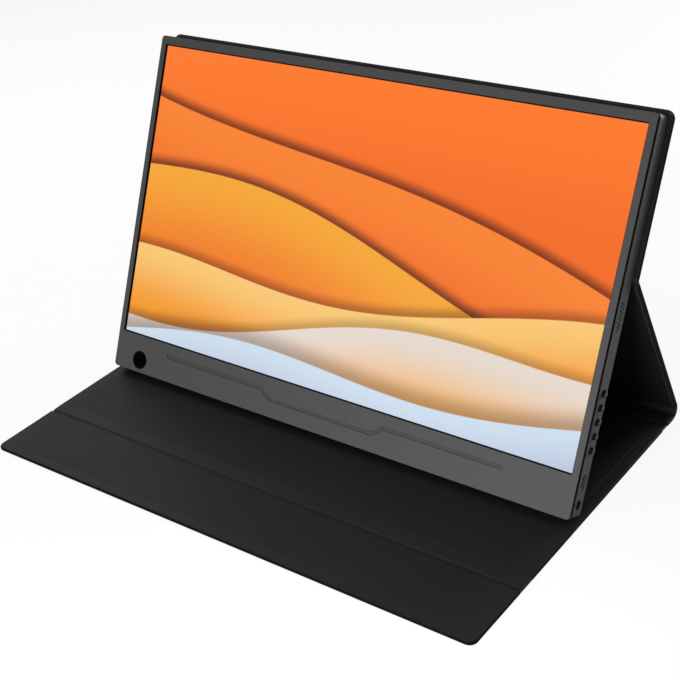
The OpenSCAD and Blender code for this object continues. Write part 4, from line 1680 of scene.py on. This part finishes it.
@dataclass(frozen=True)
class Studio:
    """The pale floor, the soft lamps and the camera."""

    eye: Point = (0.455504, -0.548032, 0.474710)
    turn: float = 39.083
    drop: float = 31.809
    roll: float = -5.500
    lens: float = 71.0047
    sensor: float = 36.0
    rise: float = 0.070624
    ambient: float = 0.11
    floor_tone: str = "#a0a0a0"
    shade_tone: str = "#707070"
    glow: float = 0.87
    lamps: tuple[Lamp, ...] = (
        Lamp("key", (0.21, -0.44, 0.12), (0.16, 0.0, 0.05), (0.14, 0.14), 1.9),
        Lamp("low", (-0.25, -0.55, 0.1), (-0.1, 0.0, 0.06), (0.4, 0.16), 1.2),
        Lamp("fill", (-0.75, 0.35, 0.75), (-0.1, -0.05, 0.05), (0.6, 0.6), 3.4),
        Lamp("side", (0.47, 1.18, 0.14), (0.177, 0.03, 0.08), (0.4, 0.3), 14.0),
        Lamp("top", (0.2, -0.6, 1.5), (0.0, 0.0, 0.1), (1.0, 1.0), 4.0),
    )

    def camera(self) -> None:
        """Sets the camera up at the picture's viewing angle."""
        a, e, r = (math.radians(v) for v in (self.turn, self.drop, self.roll))
        look = Vector((-math.sin(a) * math.cos(e), math.cos(a) * math.cos(e), -math.sin(e)))
        right = Vector((math.cos(a), math.sin(a), 0.0))
        up = right.cross(look)
        across = right * math.cos(r) + up * math.sin(r)
        above = up * math.cos(r) - right * math.sin(r)
        data = bpy.data.cameras.new("camera")
        data.lens, data.sensor_width, data.shift_y = self.lens, self.sensor, self.rise
        data.clip_start, data.clip_end = 0.01, 100.0
        camera = placed("camera", data)
        rows = Matrix((across, above, -look)).transposed().to_4x4()
        camera.matrix_world = Matrix.Translation(self.eye) @ rows
        bpy.context.scene.camera = camera

    @staticmethod
    def seen(tree: Tree) -> Wire:
        """Says which rays see the white surroundings: those of the camera, of gloss and of glass.

        Args:
            tree: the node tree.
        Returns:
            A share of 1 for those rays.
        """
        path = add(tree, "ShaderNodeLightPath").outputs
        seen = calc(tree, "MAXIMUM", path["Is Camera Ray"], path["Is Glossy Ray"])
        return calc(tree, "MAXIMUM", seen, path["Is Transmission Ray"])

    def floor(self) -> None:
        """Lays a plain pale floor that keeps the shadow."""
        made = bpy.data.materials.new("Painted board, matt white")
        tree = cleared(made)
        matt = add(tree, "ShaderNodeBsdfDiffuse", {"Color": linear(self.floor_tone)})
        dim = add(tree, "ShaderNodeBsdfDiffuse", {"Color": linear(self.shade_tone)})
        glow = add(tree, "ShaderNodeEmission", {"Color": (1, 1, 1, 1), "Strength": self.glow})
        both = add(tree, "ShaderNodeAddShader", {0: dim.outputs[0], 1: glow.outputs[0]})
        parts = {0: self.seen(tree), 1: matt.outputs[0], 2: both.outputs[0]}
        shown = add(tree, "ShaderNodeMixShader", parts)
        add(tree, "ShaderNodeOutputMaterial", {"Surface": shown.outputs[0]})
        mesh = bmesh.new()
        bmesh.ops.create_grid(mesh, x_segments=4, y_segments=4, size=30.0)
        data = bpy.data.meshes.new("floor")
        mesh.transform(Matrix.Translation((0, 0, -0.0002)))
        mesh.to_mesh(data)
        mesh.free()
        data.materials.append(made)
        placed("floor", data)

    def world(self) -> None:
        """Makes the surroundings: white to look at, a soft grey to be lit by."""
        world = bpy.data.worlds.new("studio")
        bpy.context.scene.world = world
        tree = cleared(world)
        level = ranged(tree, self.seen(tree), self.ambient, 1.0)
        sky = add(tree, "ShaderNodeBackground", {"Color": (1, 1, 1, 1), "Strength": level})
        add(tree, "ShaderNodeOutputWorld", {"Surface": sky.outputs[0]})

    def light(self) -> None:
        """Hangs the soft lamps."""
        for lamp in self.lamps:
            data = bpy.data.lights.new(lamp.name, "AREA")
            data.shape, data.size, data.size_y = "RECTANGLE", lamp.size[0], lamp.size[1]
            data.energy = lamp.power
            hung = placed(lamp.name, data)
            hung.visible_camera = False
            way = (Vector(lamp.aim) - Vector(lamp.place)).to_track_quat("-Z", "Y")
            hung.matrix_world = Matrix.Translation(lamp.place) @ way.to_matrix().to_4x4()

    def build(self) -> None:
        """Sets the whole studio up."""
        self.camera()
        self.floor()
        self.world()
        self.light()
        bpy.context.scene.view_settings.view_transform = "Standard"


def main() -> None:
    """Builds the whole scene."""
    logging.basicConfig(level=logging.INFO, format="%(name)s: %(message)s")
    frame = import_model()
    InnerParts().dress(frame["nodes"])
    repeated, thread = repeat_tree(), thread_tree()
    MonitorShell().build()
    ScreenPanel().build()
    ControlButtons().build()
    SidePorts().build(repeated)
    SpeakerMesh().build(thread)
    HousingScrews().build(repeated)
    FoldingCover().build()
    Studio().build()


if __name__ == "__main__":
    main()
